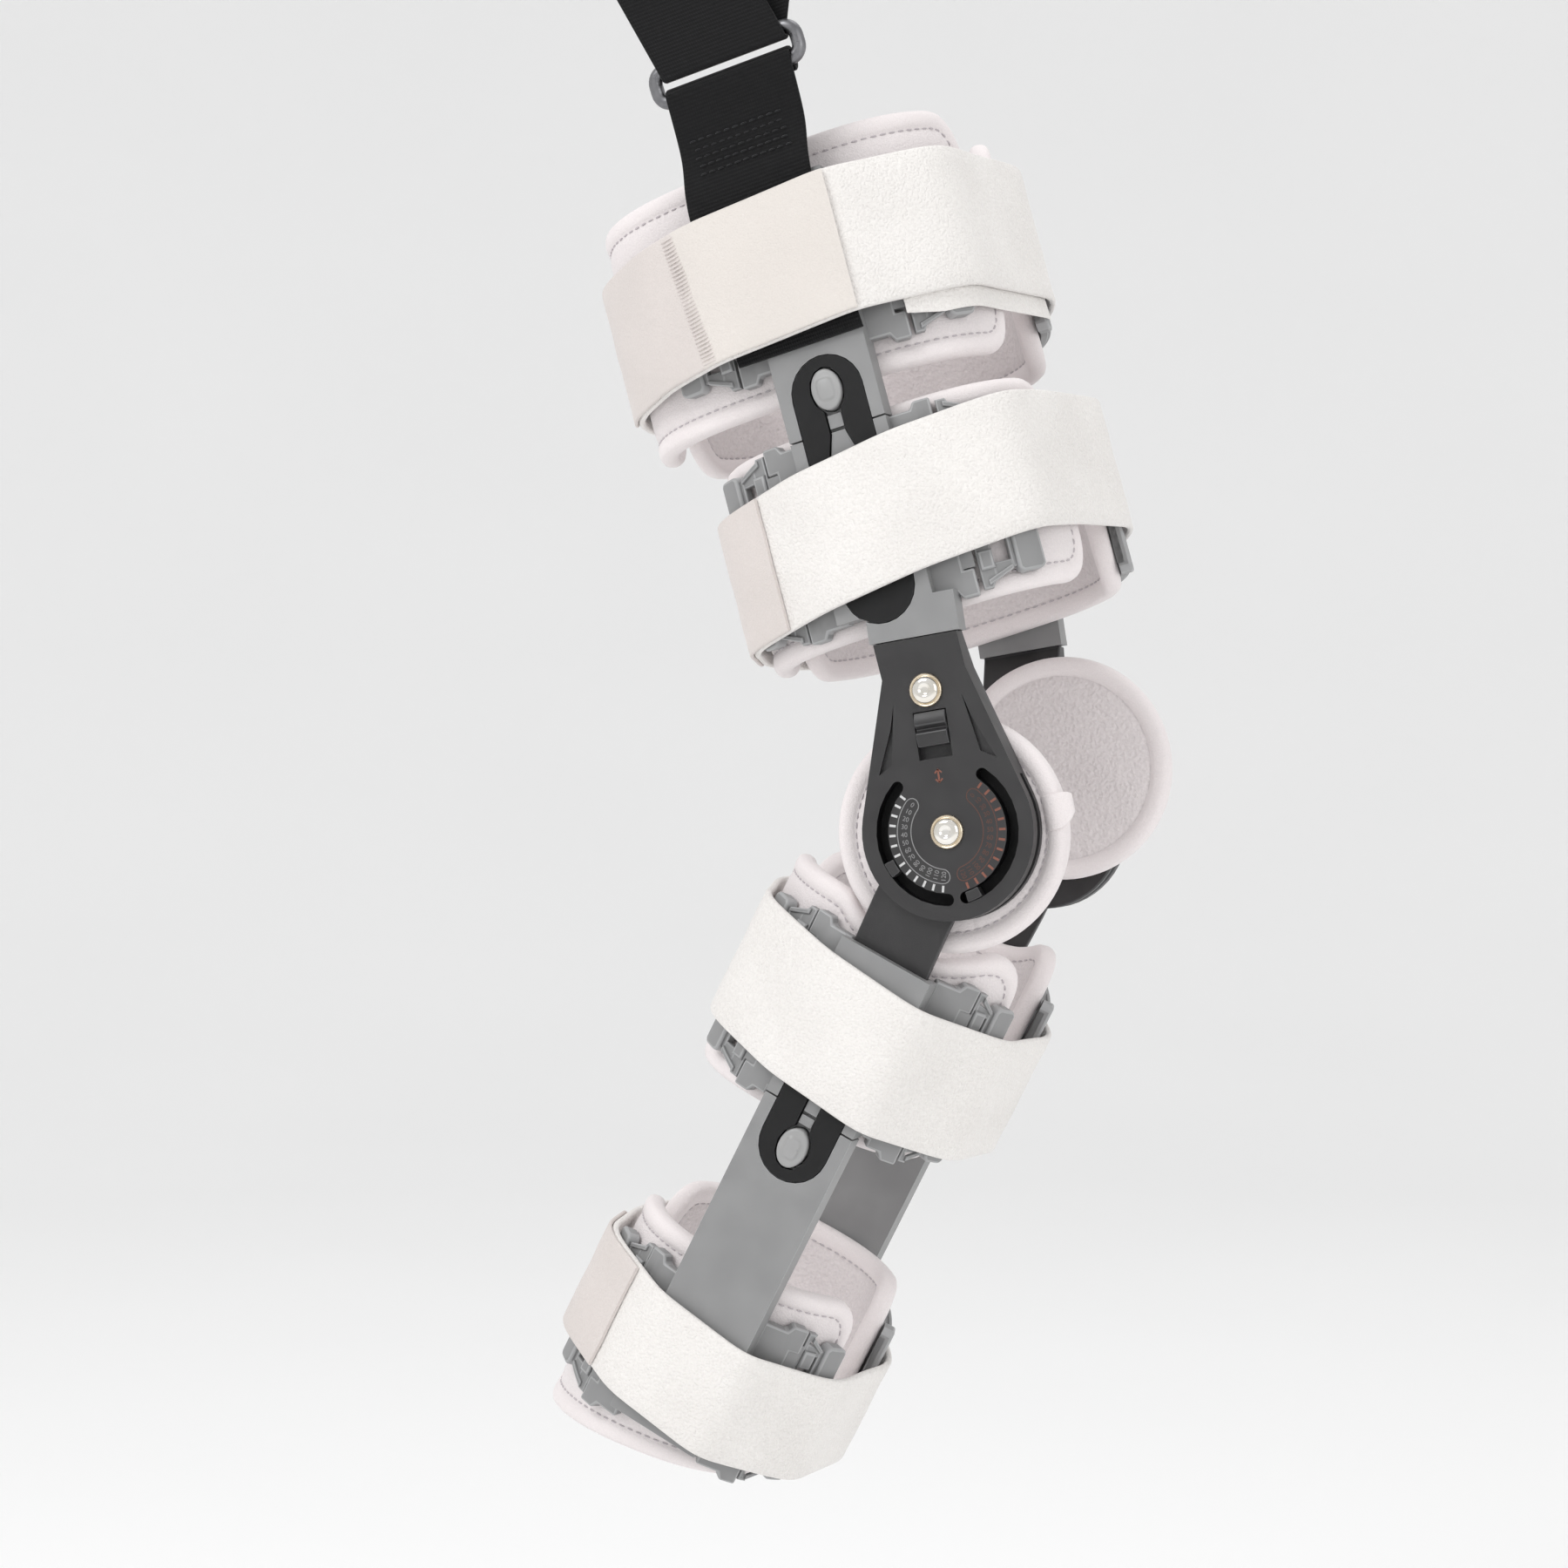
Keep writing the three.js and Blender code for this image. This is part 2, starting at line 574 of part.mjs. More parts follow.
const HINGE_BACK = HINGE_FACE - COVER_THICK - BACK_THICK - ARM_THICK - 2 * GAP;
const ARM_FACE = HINGE_FACE - COVER_THICK - GAP;
const TONGUE_BACK = SEGMENTS.thigh.halfWidth + GAP + WALL + GAP;

// A fork of two plates about the arm's round end, with a neck that steps out to the thigh plate.
function housingGeometry(plain) {
  const face = -HINGE_FACE;
  const drop = extrudeAcross(teardrop(), -HINGE_BACK, face, 16);
  const tongueFace = -TONGUE_BACK - ARM_THICK;
  const neck = extrudeAlongX(polygon([
    [-HINGE_BACK, NECK_FROM - NECK_LAP], [face, NECK_FROM - NECK_LAP], [face, NECK_FROM],
    [plateFace(SEGMENTS.thigh) + 0.5, NECK_TO], [tongueFace, NECK_TO], [tongueFace, TONGUE_TO],
    [-TONGUE_BACK, TONGUE_TO], [-TONGUE_BACK, NECK_TO], [-HINGE_BACK, NECK_FROM],
  ]), -NECK_HALF, NECK_HALF);
  const slotNear = -ARM_FACE - GAP;
  const slotFar = -HINGE_BACK - BACK_THICK;
  const cuts = [
    cylinderAcross(DISC_RADIUS + 1.5, slotNear, slotFar, 0, 12),
    block([-40, 40], [slotNear, slotFar], [-40, 17]),
    cylinderAcross(SCREW.shaft + SCREW.clearance, face - 1, 0),
  ];
  if (!plain) {
    cuts.push(
      extrudeAcross(arcBand(STOP_RADIUS, STOP_WIDTH, STOP_FROM, STOP_TO), face - 1, slotNear + 0.2),
      extrudeAcross(arcBand(STOP_RADIUS, STOP_WIDTH, -STOP_FROM, -STOP_TO), face - 1, slotNear + 0.2),
      block([-LOCK.half - GAP, LOCK.half + GAP], [face - 1, face + LOCK.deep], [LOCK.low, LOCK.high]),
      cylinderAcross(SCREW.shaft - 0.8 + SCREW.clearance, face - 1, face + 7, UPPER_SCREW_AT),
    );
    for (const side of [-1, 1]) {
      const recess = polygon(RECESS.corners.map(([x, z]) => [side * x, z]));
      cuts.push(extrudeAcross(recess, face - 1, face + RECESS.deep));
    }
  }
  return tilted(cut(join(drop, neck), ...cuts));
}

// The steel lower arm: a round end in the fork, and a bar that steps in to the calf plate.
// Drawn like the uprights, w pointing away from the knee.
function armGeometry() {
  const face = -ARM_FACE;
  const inPlate = plateBack(SEGMENTS.calf) - WALL - GAP - ARM_THICK;
  const { bendFrom, bendTo, end } = ARM_RUN;
  const outside = [[face, 0], [face, bendFrom], [inPlate, bendTo], [inPlate, end]];
  const inside = outside.map(([y, w]) => [y + ARM_THICK, w]).reverse();
  const bar = extrudeAlongX(polygon([...outside, ...inside]), -ARM_HALF, ARM_HALF);
  const disc = cylinderAcross(DISC_RADIUS, face, face + ARM_THICK, 0, 12);
  const hole = cylinderAcross(SCREW.shaft + SCREW.clearance, face - 1, face + ARM_THICK + 1);
  return cut(join(disc, bar), hole);
}

// Where each plate takes the hinge's bar: a stem round the housing's tongue, or a pocket for the arm.
function socketFor(segment) {
  const [face, back] = [plateFace(segment), plateBack(segment)];
  if (segment.up > 0) {
    const half = NECK_HALF + 1.2;
    return {
      stem: [tilted(block([-half, half], [face, back], [NECK_TO + GAP, TONGUE_TO + 2]))],
      hollow: tilted(block([-NECK_HALF - GAP, NECK_HALF + GAP],
        [-TONGUE_BACK - ARM_THICK - GAP, -TONGUE_BACK + GAP], [NECK_TO - 1, TONGUE_TO + GAP])),
    };
  }
  const near = back - WALL;
  const pocket = block([-ARM_HALF - GAP, ARM_HALF + GAP], [near - ARM_THICK - 2 * GAP, near],
    [ARM_RUN.bendFrom + 6, ARM_RUN.end + 1]);
  return { stem: [], hollow: pocket };
}

function screwGeometry(shaft, far) {
  const face = -HINGE_FACE - 0.3;
  const profile = [[0, far], [shaft, far], [shaft, face], [SCREW.head, face], [SCREW.head, face - 0.9],
    [SCREW.head * 0.8, face - 2], [SCREW.head * 0.45, face - SCREW.height], [0, face - SCREW.height]];
  return new THREE.LatheGeometry(profile.map(([r, y]) => new THREE.Vector2(r, y)).reverse(), 14);
}

function keyGeometry(at) {
  const half = KEY_SPAN / 2;
  const shape = arcBand(STOP_RADIUS, STOP_WIDTH - 2 * GAP, at - half, at + half, false);
  return tilted(extrudeAcross(shape, -HINGE_FACE + COVER_THICK - 0.8, -HINGE_FACE - 0.5, 2));
}

// The lock slide fills the upper part of its window and has two finger ridges.
function lockGeometry() {
  const face = -HINGE_FACE;
  const top = LOCK.high - GAP;
  const ridges = polygon([
    [face + LOCK.deep - GAP, top - LOCK.length], [face - 0.2, top - LOCK.length], [face - 1.4, top - 9.5],
    [face - 1.4, top - 7.5], [face + 0.6, top - 6.2], [face - 1.4, top - 4.6], [face - 1.4, top - 2.4],
    [face - 0.2, top], [face + LOCK.deep - GAP, top],
  ]);
  return tilted(extrudeAlongX(ridges, -LOCK.half, LOCK.half));
}

// Suspension webbing and its ring, on the outer side of the upper thigh cuff

// Places on the webbing's middle line, from its sewn end under the strap to the ring's lower bar.
const WEBBING_LOW = [
  { x: -5, y: -76.1, z: 185 },
  { x: -7, y: -76.1, z: 212 },
  { x: -9, y: -76.1, z: 240 },
  { x: -8, y: -77.6, z: 252 },
  { x: -5, y: -80, z: 266 },
];
const LOW_BAR = { x: -2, y: -85, z: 285.4 };
const HIGH_BAR = { x: -2, y: -86.5, z: 297.2 };
// The two upper runs leave the ring's upper bar, the outer one leaning back and the inner one forward.
const OUTER_RUN_TOP = { x: -12, y: -97, z: 340 };
const INNER_RUN_TOP = { x: 15, y: -87, z: 336 };

const LOOP_RADIUS = RING_WIRE + GAP + WEBBING_THICK / 2;

// Half a turn round a bar, from one angle to another in the y and z plane.
function turnRound(bar, from, to, steps = 6) {
  return Array.from({ length: steps + 1 }, (_, i) => {
    const angle = radians(from + ((to - from) * i) / steps);
    const [out, up] = [LOOP_RADIUS * Math.cos(angle), LOOP_RADIUS * Math.sin(angle)];
    return { x: bar.x, y: bar.y + out, z: bar.z + up };
  });
}

function webbingGeometry(places) {
  const path = places.map((p) => new THREE.Vector3(p.x, p.y, p.z));
  const sections = path.map((p, i) => {
    const [before, after] = [path[Math.max(i - 1, 0)], path[Math.min(i + 1, path.length - 1)]];
    const along = after.clone().sub(before).setX(0).normalize();
    const normal = new THREE.Vector3(0, along.z, -along.y).multiplyScalar(WEBBING_THICK / 2);
    const width = new THREE.Vector3(WEBBING_HALF, 0, 0);
    return [p.clone().add(normal).sub(width), p.clone().add(normal).add(width),
      p.clone().sub(normal).add(width), p.clone().sub(normal).sub(width)];
  });
  return sweep(sections);
}

function ringGeometry() {
  const [halfWide, corner] = [WEBBING_HALF + 3.4, 4.5];
  const middle = new THREE.Vector3(LOW_BAR.x, (LOW_BAR.y + HIGH_BAR.y) / 2, (LOW_BAR.z + HIGH_BAR.z) / 2);
  const up = new THREE.Vector3(0, HIGH_BAR.y - LOW_BAR.y, HIGH_BAR.z - LOW_BAR.z);
  const halfTall = up.length() / 2;
  up.normalize();
  const [across, through] = [new THREE.Vector3(1, 0, 0), new THREE.Vector3(0, up.z, -up.y)];
  const sections = [];
  const corners = [[1, -1, -90], [1, 1, 0], [-1, 1, 90], [-1, -1, 180]];
  for (const [right, high, start] of corners) {
    for (let turn = 0; turn <= 90; turn += 30) {
      const angle = radians(start + turn);
      const out = across.clone().multiplyScalar(Math.cos(angle)).addScaledVector(up, Math.sin(angle));
      const centre = middle.clone()
        .addScaledVector(across, right * (halfWide - corner))
        .addScaledVector(up, high * (halfTall - Math.min(corner, halfTall)))
        .addScaledVector(out, Math.min(corner, halfTall));
      sections.push(Array.from({ length: 6 }, (_, k) => {
        const around = (k * Math.PI) / 3;
        return centre.clone()
          .addScaledVector(out, RING_WIRE * Math.cos(around))
          .addScaledVector(through, RING_WIRE * Math.sin(around));
      }));
    }
  }
  return sweep(sections, true);
}

// Assembly

const brace = new THREE.Group();

function addPiece(group, name, geometry, material) {
  const piece = new THREE.Mesh(geometry, material.clone());
  piece.name = name;
  group.add(piece);
}

const limbs = {};
for (const [name, lean] of [['thigh', -THIGH_LEAN], ['calf', CALF_LEAN]]) {
  const limb = new THREE.Group();
  limb.rotation.y = radians(lean);
  brace.add(limb);
  limbs[name] = limb;
}

const frameOf = (segmentName, mirror) => {
  const frame = new THREE.Group();
  frame.scale.set(1, mirror, SEGMENTS[segmentName].up);
  limbs[segmentName].add(frame);
  return frame;
};

for (const cuff of CUFFS) {
  const segment = SEGMENTS[cuff.segment];
  const section = new Section(cuff, segment);
  for (const side of SIDES) {
    const frame = frameOf(cuff.segment, side.mirror);
    const prefix = `${side.name}_${cuff.name}`;
    addPiece(frame, `${prefix}_pad`, padGeometry(cuff, section, segment), MATERIALS.pad);
    const [back, front] = side.reach[cuff.segment];
    addPiece(frame, `${prefix}_front_wing`, wingGeometry(cuff, section, front), MATERIALS.plate);
    addPiece(frame, `${prefix}_back_wing`, wingGeometry(cuff, section, -back), MATERIALS.plate);
    const plate = cuff.outer
      ? outerPlateGeometry(cuff, section, segment)
      : innerPlateGeometry(cuff, section, segment, socketFor(segment));
    addPiece(frame, `${prefix}_plate`, plate, MATERIALS.plate);
  }
  const frame = frameOf(cuff.segment, 1);
  const path = strapPath(cuff, section, segment);
  const strap = { inner: STRAP_EASE, thick: STRAP_THICK, trim: 0 };
  addPiece(frame, `${cuff.name}_strap`, strapGeometry(cuff, path, strap), MATERIALS.strap);
  if (cuff.tab) {
    const tab = { ...cuff.tab, inner: STRAP_EASE + STRAP_THICK + GAP, thick: TAB_THICK, trim: 0.5 };
    addPiece(frame, `${cuff.name}_strap_tab`, strapGeometry(cuff, path, tab), MATERIALS.strapTab);
  }
}

for (const side of SIDES) {
  for (const [name, segment] of Object.entries(SEGMENTS)) {
    const frame = frameOf(name, side.mirror);
    addPiece(frame, `${side.name}_${name}_slide`, slideGeometry(segment, side.plain), MATERIALS.slide);
    if (!side.plain) {
      addPiece(frame, `${side.name}_${name}_button`, buttonGeometry(segment), MATERIALS.button);
    }
  }
  const knee = frameOf('thigh', side.mirror);
  addPiece(knee, `${side.name}_hinge_housing`, housingGeometry(side.plain), MATERIALS.hinge);
  addPiece(knee, `${side.name}_knee_pad`, kneePadGeometry(side.pad), MATERIALS.pad);
  const pivot = screwGeometry(SCREW.shaft, -HINGE_BACK - 0.3);
  addPiece(knee, `${side.name}_pivot_screw`, pivot, MATERIALS.screw);
  addPiece(frameOf('calf', side.mirror), `${side.name}_hinge_arm`, armGeometry(), MATERIALS.hinge);
  if (!side.plain) {
    const upper = screwGeometry(SCREW.shaft - 0.8, -HINGE_FACE + 6).translate(0, 0, UPPER_SCREW_AT);
    addPiece(knee, `${side.name}_upper_screw`, tilted(upper), MATERIALS.screw);
    addPiece(knee, `${side.name}_lock_slider`, lockGeometry(), MATERIALS.hinge);
    addPiece(knee, `${side.name}_extension_key`, keyGeometry(-EXTENSION_KEY_AT), MATERIALS.hinge);
    addPiece(knee, `${side.name}_flexion_key`, keyGeometry(FLEXION_KEY_AT), MATERIALS.hinge);
  }
}

const hanger = frameOf('thigh', 1);
const lowerRun = [...WEBBING_LOW, ...turnRound(LOW_BAR, 180, -90)];
const upperRun = [OUTER_RUN_TOP, ...turnRound(HIGH_BAR, 200, 380), INNER_RUN_TOP];
addPiece(hanger, 'suspension_webbing_lower', webbingGeometry(lowerRun), MATERIALS.webbing);
addPiece(hanger, 'suspension_webbing_upper', webbingGeometry(upperRun), MATERIALS.webbing);
addPiece(hanger, 'suspension_ring', ringGeometry(), MATERIALS.ring);

export default brace;
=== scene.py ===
"""Looks of a hinged knee brace for a right leg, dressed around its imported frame.

Each limb segment has a frame of its own in millimetres: x forward, y across the leg with the outer
side negative, and w along the limb away from the knee. The inner side mirrors y. Soft pieces and
wings are drawn flat, as (s, w, d): s along the limb's section, w along the limb and d out from it.
"""
import logging
import math
from collections.abc import Callable, Sequence
from dataclasses import dataclass, field
from enum import Enum

import bmesh
import bpy
import numpy as np
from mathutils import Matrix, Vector


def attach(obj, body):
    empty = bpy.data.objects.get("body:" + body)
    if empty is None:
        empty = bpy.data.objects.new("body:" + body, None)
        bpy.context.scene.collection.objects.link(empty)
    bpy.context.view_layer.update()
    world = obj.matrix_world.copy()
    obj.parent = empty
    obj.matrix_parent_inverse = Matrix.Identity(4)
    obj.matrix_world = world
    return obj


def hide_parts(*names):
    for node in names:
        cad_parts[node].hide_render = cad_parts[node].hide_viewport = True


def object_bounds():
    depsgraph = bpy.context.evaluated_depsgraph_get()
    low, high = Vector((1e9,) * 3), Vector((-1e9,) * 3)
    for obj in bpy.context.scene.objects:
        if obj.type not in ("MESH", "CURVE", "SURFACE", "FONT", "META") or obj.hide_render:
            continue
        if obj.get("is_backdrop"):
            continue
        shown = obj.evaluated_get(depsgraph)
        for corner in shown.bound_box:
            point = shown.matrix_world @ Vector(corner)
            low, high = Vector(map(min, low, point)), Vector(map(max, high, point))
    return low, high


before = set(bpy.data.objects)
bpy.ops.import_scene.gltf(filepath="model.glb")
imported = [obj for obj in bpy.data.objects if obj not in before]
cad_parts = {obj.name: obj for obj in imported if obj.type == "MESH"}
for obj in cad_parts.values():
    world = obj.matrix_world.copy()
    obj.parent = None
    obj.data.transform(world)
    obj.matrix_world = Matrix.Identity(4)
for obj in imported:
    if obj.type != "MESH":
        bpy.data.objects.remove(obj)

CAD_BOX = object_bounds()
MM = 0.001
LOG = logging.getLogger("knee_brace")

# Sizes in mm, the same as the CAD's.
GAP = 0.35
PAD_THICK = 9.0
PAD_CORNER = 18.0
PAD_FRONT_GAP = 20.0
PAD_BACK_GAP = 8.0
KNEE_CLEARANCE = 48.5
PLATE_THICK = 9.0
PLATE_HALF = 19.0
WING_THICK = 3.0
LUG_LENGTH = 10.0
LUG_THICK = 1.8
STRAP_THICK = 2.5
STRAP_EASE = 1.2
TAB_THICK = 1.8
HINGE_FACE = 70.0
HINGE_BACK = 58.5
COVER_THICK = 5.0
WEBBING_HALF = 25.0
WEBBING_THICK = 1.8
UPPER_SCREW_AT = 52.0
LATERAL_KNEE_PAD_AT = (-3.0, 0.0)
MEDIAL_KNEE_PAD_AT = (16.0, 20.0)

# Sizes in mm that only the looks have.
CLIP_RISE = 1.5
PAD_SWELL_MM = 1.0

# The corners of a rectangle in the order of their quarter turns, as signs to the right and up.
CORNERS = ((1, 1), (-1, 1), (-1, -1), (1, -1))


class Side(Enum):
    """Which side of the leg a piece is on; the value mirrors y."""

    LATERAL = 1
    MEDIAL = -1

    @property
    def word(self) -> str:
        """The side's name in piece names."""
        return self.name.lower()


class Face(Enum):
    """The two faces of a pad, as the sign of their distance from its middle."""

    OUTER = 1
    INNER = -1


# Finishes


class NodeSheet:
    """A material's node tree with short calls for its nodes and links.

    The three numbers are the sockets of a Mix node that mixes colours.
    """

    MIX_FIRST = 6
    MIX_SECOND = 7
    MIX_RESULT = 2

    def __init__(self, name: str) -> None:
        """Starts a material with a bare Principled shader.

        Args:
            name: The material's name.
        """
        self.material = bpy.data.materials.new(name)
        self.material.use_nodes = True
        self.tree = self.material.node_tree
        self.shader = next(n for n in self.tree.nodes if n.type == "BSDF_PRINCIPLED")
        self.object_place = self.node("ShaderNodeTexCoord").outputs["Object"]

    def node(self, kind: str, **values: object) -> bpy.types.Node:
        """Adds a node.

        Args:
            kind: Blender's name for the node type.
            values: Node properties, or input sockets written with underscores for spaces.

        Returns:
            The new node.
        """
        made = self.tree.nodes.new(kind)
        for key, value in values.items():
            if hasattr(made, key):
                setattr(made, key, value)
            else:
                made.inputs[key.replace("_", " ")].default_value = value
        return made

    def link(self, source: bpy.types.NodeSocket, target: bpy.types.NodeSocket) -> None:
        """Joins one socket to another."""
        self.tree.links.new(source, target)

    def noise(self, size_mm: float, detail: float = 2.0) -> bpy.types.NodeSocket:
        """Adds solid noise with features of about one size.

        Args:
            size_mm: The features' size.
            detail: How many finer layers are added.

        Returns:
            The noise's value, about 0.5 in the middle.
        """
        made = self.node("ShaderNodeTexNoise", Scale=1 / (size_mm * MM), Detail=detail)
        self.link(self.object_place, made.inputs["Vector"])
        return made.outputs["Fac"]

    def ramp(self, source: bpy.types.NodeSocket, low: float, high: float,
             to_low: float = 0.0, to_high: float = 1.0) -> bpy.types.NodeSocket:
        """Maps a range of values to another.

        Args:
            source: The value to map.
            low: Where the range starts.
            high: Where the range ends.
            to_low: What its start becomes.
            to_high: What its end becomes.

        Returns:
            The mapped value.
        """
        made = self.node("ShaderNodeMapRange")
        for index, value in enumerate((low, high, to_low, to_high), start=1):
            made.inputs[index].default_value = value
        self.link(source, made.inputs[0])
        return made.outputs[0]

    def math(self, operation: str, first: bpy.types.NodeSocket,
             second: bpy.types.NodeSocket | float) -> bpy.types.NodeSocket:
        """Works out one value from two.

        Args:
            operation: The Math node's operation.
            first: The first value.
            second: The second value, a socket or a number.

        Returns:
            The result.
        """
        made = self.node("ShaderNodeMath", operation=operation)
        self.link(first, made.inputs[0])
        if isinstance(second, bpy.types.NodeSocket):
            self.link(second, made.inputs[1])
        else:
            made.inputs[1].default_value = second
        return made.outputs[0]

    def mix(self, share: bpy.types.NodeSocket, first: Sequence[float] | bpy.types.NodeSocket,
            second: Sequence[float]) -> bpy.types.NodeSocket:
        """Mixes two colours.

        Args:
            share: How much of the second colour shows.
            first: The first colour, or a socket that gives it.
            second: The second colour.

        Returns:
            The mixed colour.
        """
        made = self.node("ShaderNodeMix", data_type="RGBA")
        self.link(share, made.inputs[0])
        if isinstance(first, bpy.types.NodeSocket):
            self.link(first, made.inputs[self.MIX_FIRST])
        else:
            made.inputs[self.MIX_FIRST].default_value = (*first, 1.0)
        made.inputs[self.MIX_SECOND].default_value = (*second, 1.0)
        return made.outputs[self.MIX_RESULT]

    def bump(self, height: bpy.types.NodeSocket, depth_mm: float, strength: float) -> bpy.types.NodeSocket:
        """Adds relief.

        Args:
            height: The relief, from 0 to 1.
            depth_mm: The relief's depth.
            strength: How much of it shows.

        Returns:
            The bumped normal.
        """
        made = self.node("ShaderNodeBump", Distance=depth_mm * MM, Strength=strength)
        self.link(height, made.inputs["Height"])
        return made.outputs["Normal"]

    def finish(self, colour: bpy.types.NodeSocket, roughness: bpy.types.NodeSocket,
               normal: bpy.types.NodeSocket, **constants: float) -> bpy.types.Material:
        """Joins the surface to the shader.

        Args:
            colour: The base colour.
            roughness: The roughness.
            normal: The bumped normal.
            constants: Shader sockets that are the same all over, with underscores for spaces.

        Returns:
            The finished material.
        """
        self.link(colour, self.shader.inputs["Base Color"])
        self.link(roughness, self.shader.inputs["Roughness"])
        self.link(normal, self.shader.inputs["Normal"])
        for key, value in constants.items():
            self.shader.inputs[key.replace("_", " ")].default_value = value
        return self.material


Colour = tuple[float, float, float]
Place = tuple[float, float, float]


@dataclass(frozen=True)
class Cloth:
    """A felted or brushed cloth with a fine grain, faint blotches and a sheen."""

    name: str
    colour: Colour
    shade: Colour
    grain_mm: float = 0.7
    bump: float = 0.5
    depth_mm: float = 0.25
    looped: bool = False
    sheen: float = 0.25
    roughness: float = 0.86
    blotch_mm: float = 26.0
    spot_share: float = 0.45
    blotch_share: float = 0.5
    loop_size: float = 1.8

    def material(self) -> bpy.types.Material:
        """Builds the material.

        Returns:
            The material, whose grain is solid and needs no UVs.
        """
        sheet = NodeSheet(self.name)
        grain = sheet.noise(self.grain_mm, detail=1.5)
        blotch = sheet.noise(self.blotch_mm, detail=0.0)
        spots = sheet.ramp(grain, 0.32, 0.72)
        soft = sheet.ramp(blotch, 0.35, 0.7, 0.0, 0.55)
        share = sheet.math("ADD", sheet.math("MULTIPLY", spots, self.spot_share),
                           sheet.math("MULTIPLY", soft, self.blotch_share))
        colour = sheet.mix(share, self.colour, self.shade)
        relief = spots
        if self.looped:
            loops = sheet.node("ShaderNodeTexVoronoi", Scale=1 / (self.grain_mm * self.loop_size * MM))
            sheet.link(sheet.object_place, loops.inputs["Vector"])
            relief = sheet.math("ADD", spots, sheet.math("MULTIPLY", loops.outputs["Distance"], 2.0))
        normal = sheet.bump(relief, self.depth_mm, self.bump)
        rough = sheet.ramp(grain, 0.2, 0.8, self.roughness - 0.06, self.roughness + 0.06)
        return sheet.finish(colour, rough, normal, Sheen_Weight=self.sheen, Sheen_Roughness=0.45,
                            Specular_IOR_Level=0.25)


@dataclass(frozen=True)
class Moulded:
    """A satin moulding with a fine spark-eroded grain and faint handling marks."""

    name: str
    colour: Colour
    wear_and_glint: Colour
    roughness: float = 0.42
    grain_mm: float = 0.35
    specular: float = 0.5
    smudge_mm: float = 14.0
    relief_mm: float = 0.05

    def material(self) -> bpy.types.Material:
        """Builds the material.

        Returns:
            The material, paler and duller where it is handled.
        """
        sheet = NodeSheet(self.name)
        grain = sheet.noise(self.grain_mm, detail=0.0)
        smudge = sheet.noise(self.smudge_mm, detail=1.0)
        colour = sheet.mix(sheet.ramp(smudge, 0.3, 0.75, 0.0, 0.14), self.colour, self.wear_and_glint)
        rough = sheet.ramp(smudge, 0.3, 0.7, self.roughness - 0.05, self.roughness + 0.08)
        normal = sheet.bump(grain, self.relief_mm, 0.35)
        return sheet.finish(colour, rough, normal, Specular_IOR_Level=self.specular)


@dataclass(frozen=True)
class Metal:
    """Bare or plated metal with fine scratches."""

    name: str
    colour: Colour
    tarnish: Colour
    roughness: float
    scratch_scale: tuple[float, float, float] = (90.0, 900.0, 900.0)
    cloud_mm: float = 5.0

    def material(self) -> bpy.types.Material:
        """Builds the material.

        Returns:
            The metal, with roughness that varies along fine scratches.
        """
        sheet = NodeSheet(self.name)
        stretch = sheet.node("ShaderNodeMapping")
        stretch.inputs["Scale"].default_value = self.scratch_scale
        sheet.link(sheet.object_place, stretch.inputs["Vector"])
        scratch = sheet.node("ShaderNodeTexNoise", Scale=3.0, Detail=3.0)
        sheet.link(stretch.outputs[0], scratch.inputs["Vector"])
        cloud = sheet.noise(self.cloud_mm)
        colour = sheet.mix(sheet.ramp(cloud, 0.35, 0.75), self.colour, self.tarnish)
        rough = sheet.ramp(scratch.outputs["Fac"], 0.3, 0.7, self.roughness * 0.7, self.roughness * 1.4)
        normal = sheet.bump(scratch.outputs["Fac"], 0.03, 0.25)
        return sheet.finish(colour, rough, normal, Metallic=1.0)


@dataclass(frozen=True)
class Paper:
    """A plain matt studio paper with a barely mottled surface."""

    name: str
    colour: Colour
    shade: Colour
    mottle_mm: float = 300.0

    def material(self) -> bpy.types.Material:
        """Builds the material.

        Returns:
            The paper, with one broad layer of noise.
        """
        sheet = NodeSheet(self.name)
        mottle = sheet.noise(self.mottle_mm, detail=0.0)
        colour = sheet.mix(mottle, self.colour, self.shade)
        normal = sheet.node("ShaderNodeNewGeometry").outputs["Normal"]
        return sheet.finish(colour, sheet.ramp(mottle, 0.0, 1.0, 0.9, 1.0), normal, Specular_IOR_Level=0.1)


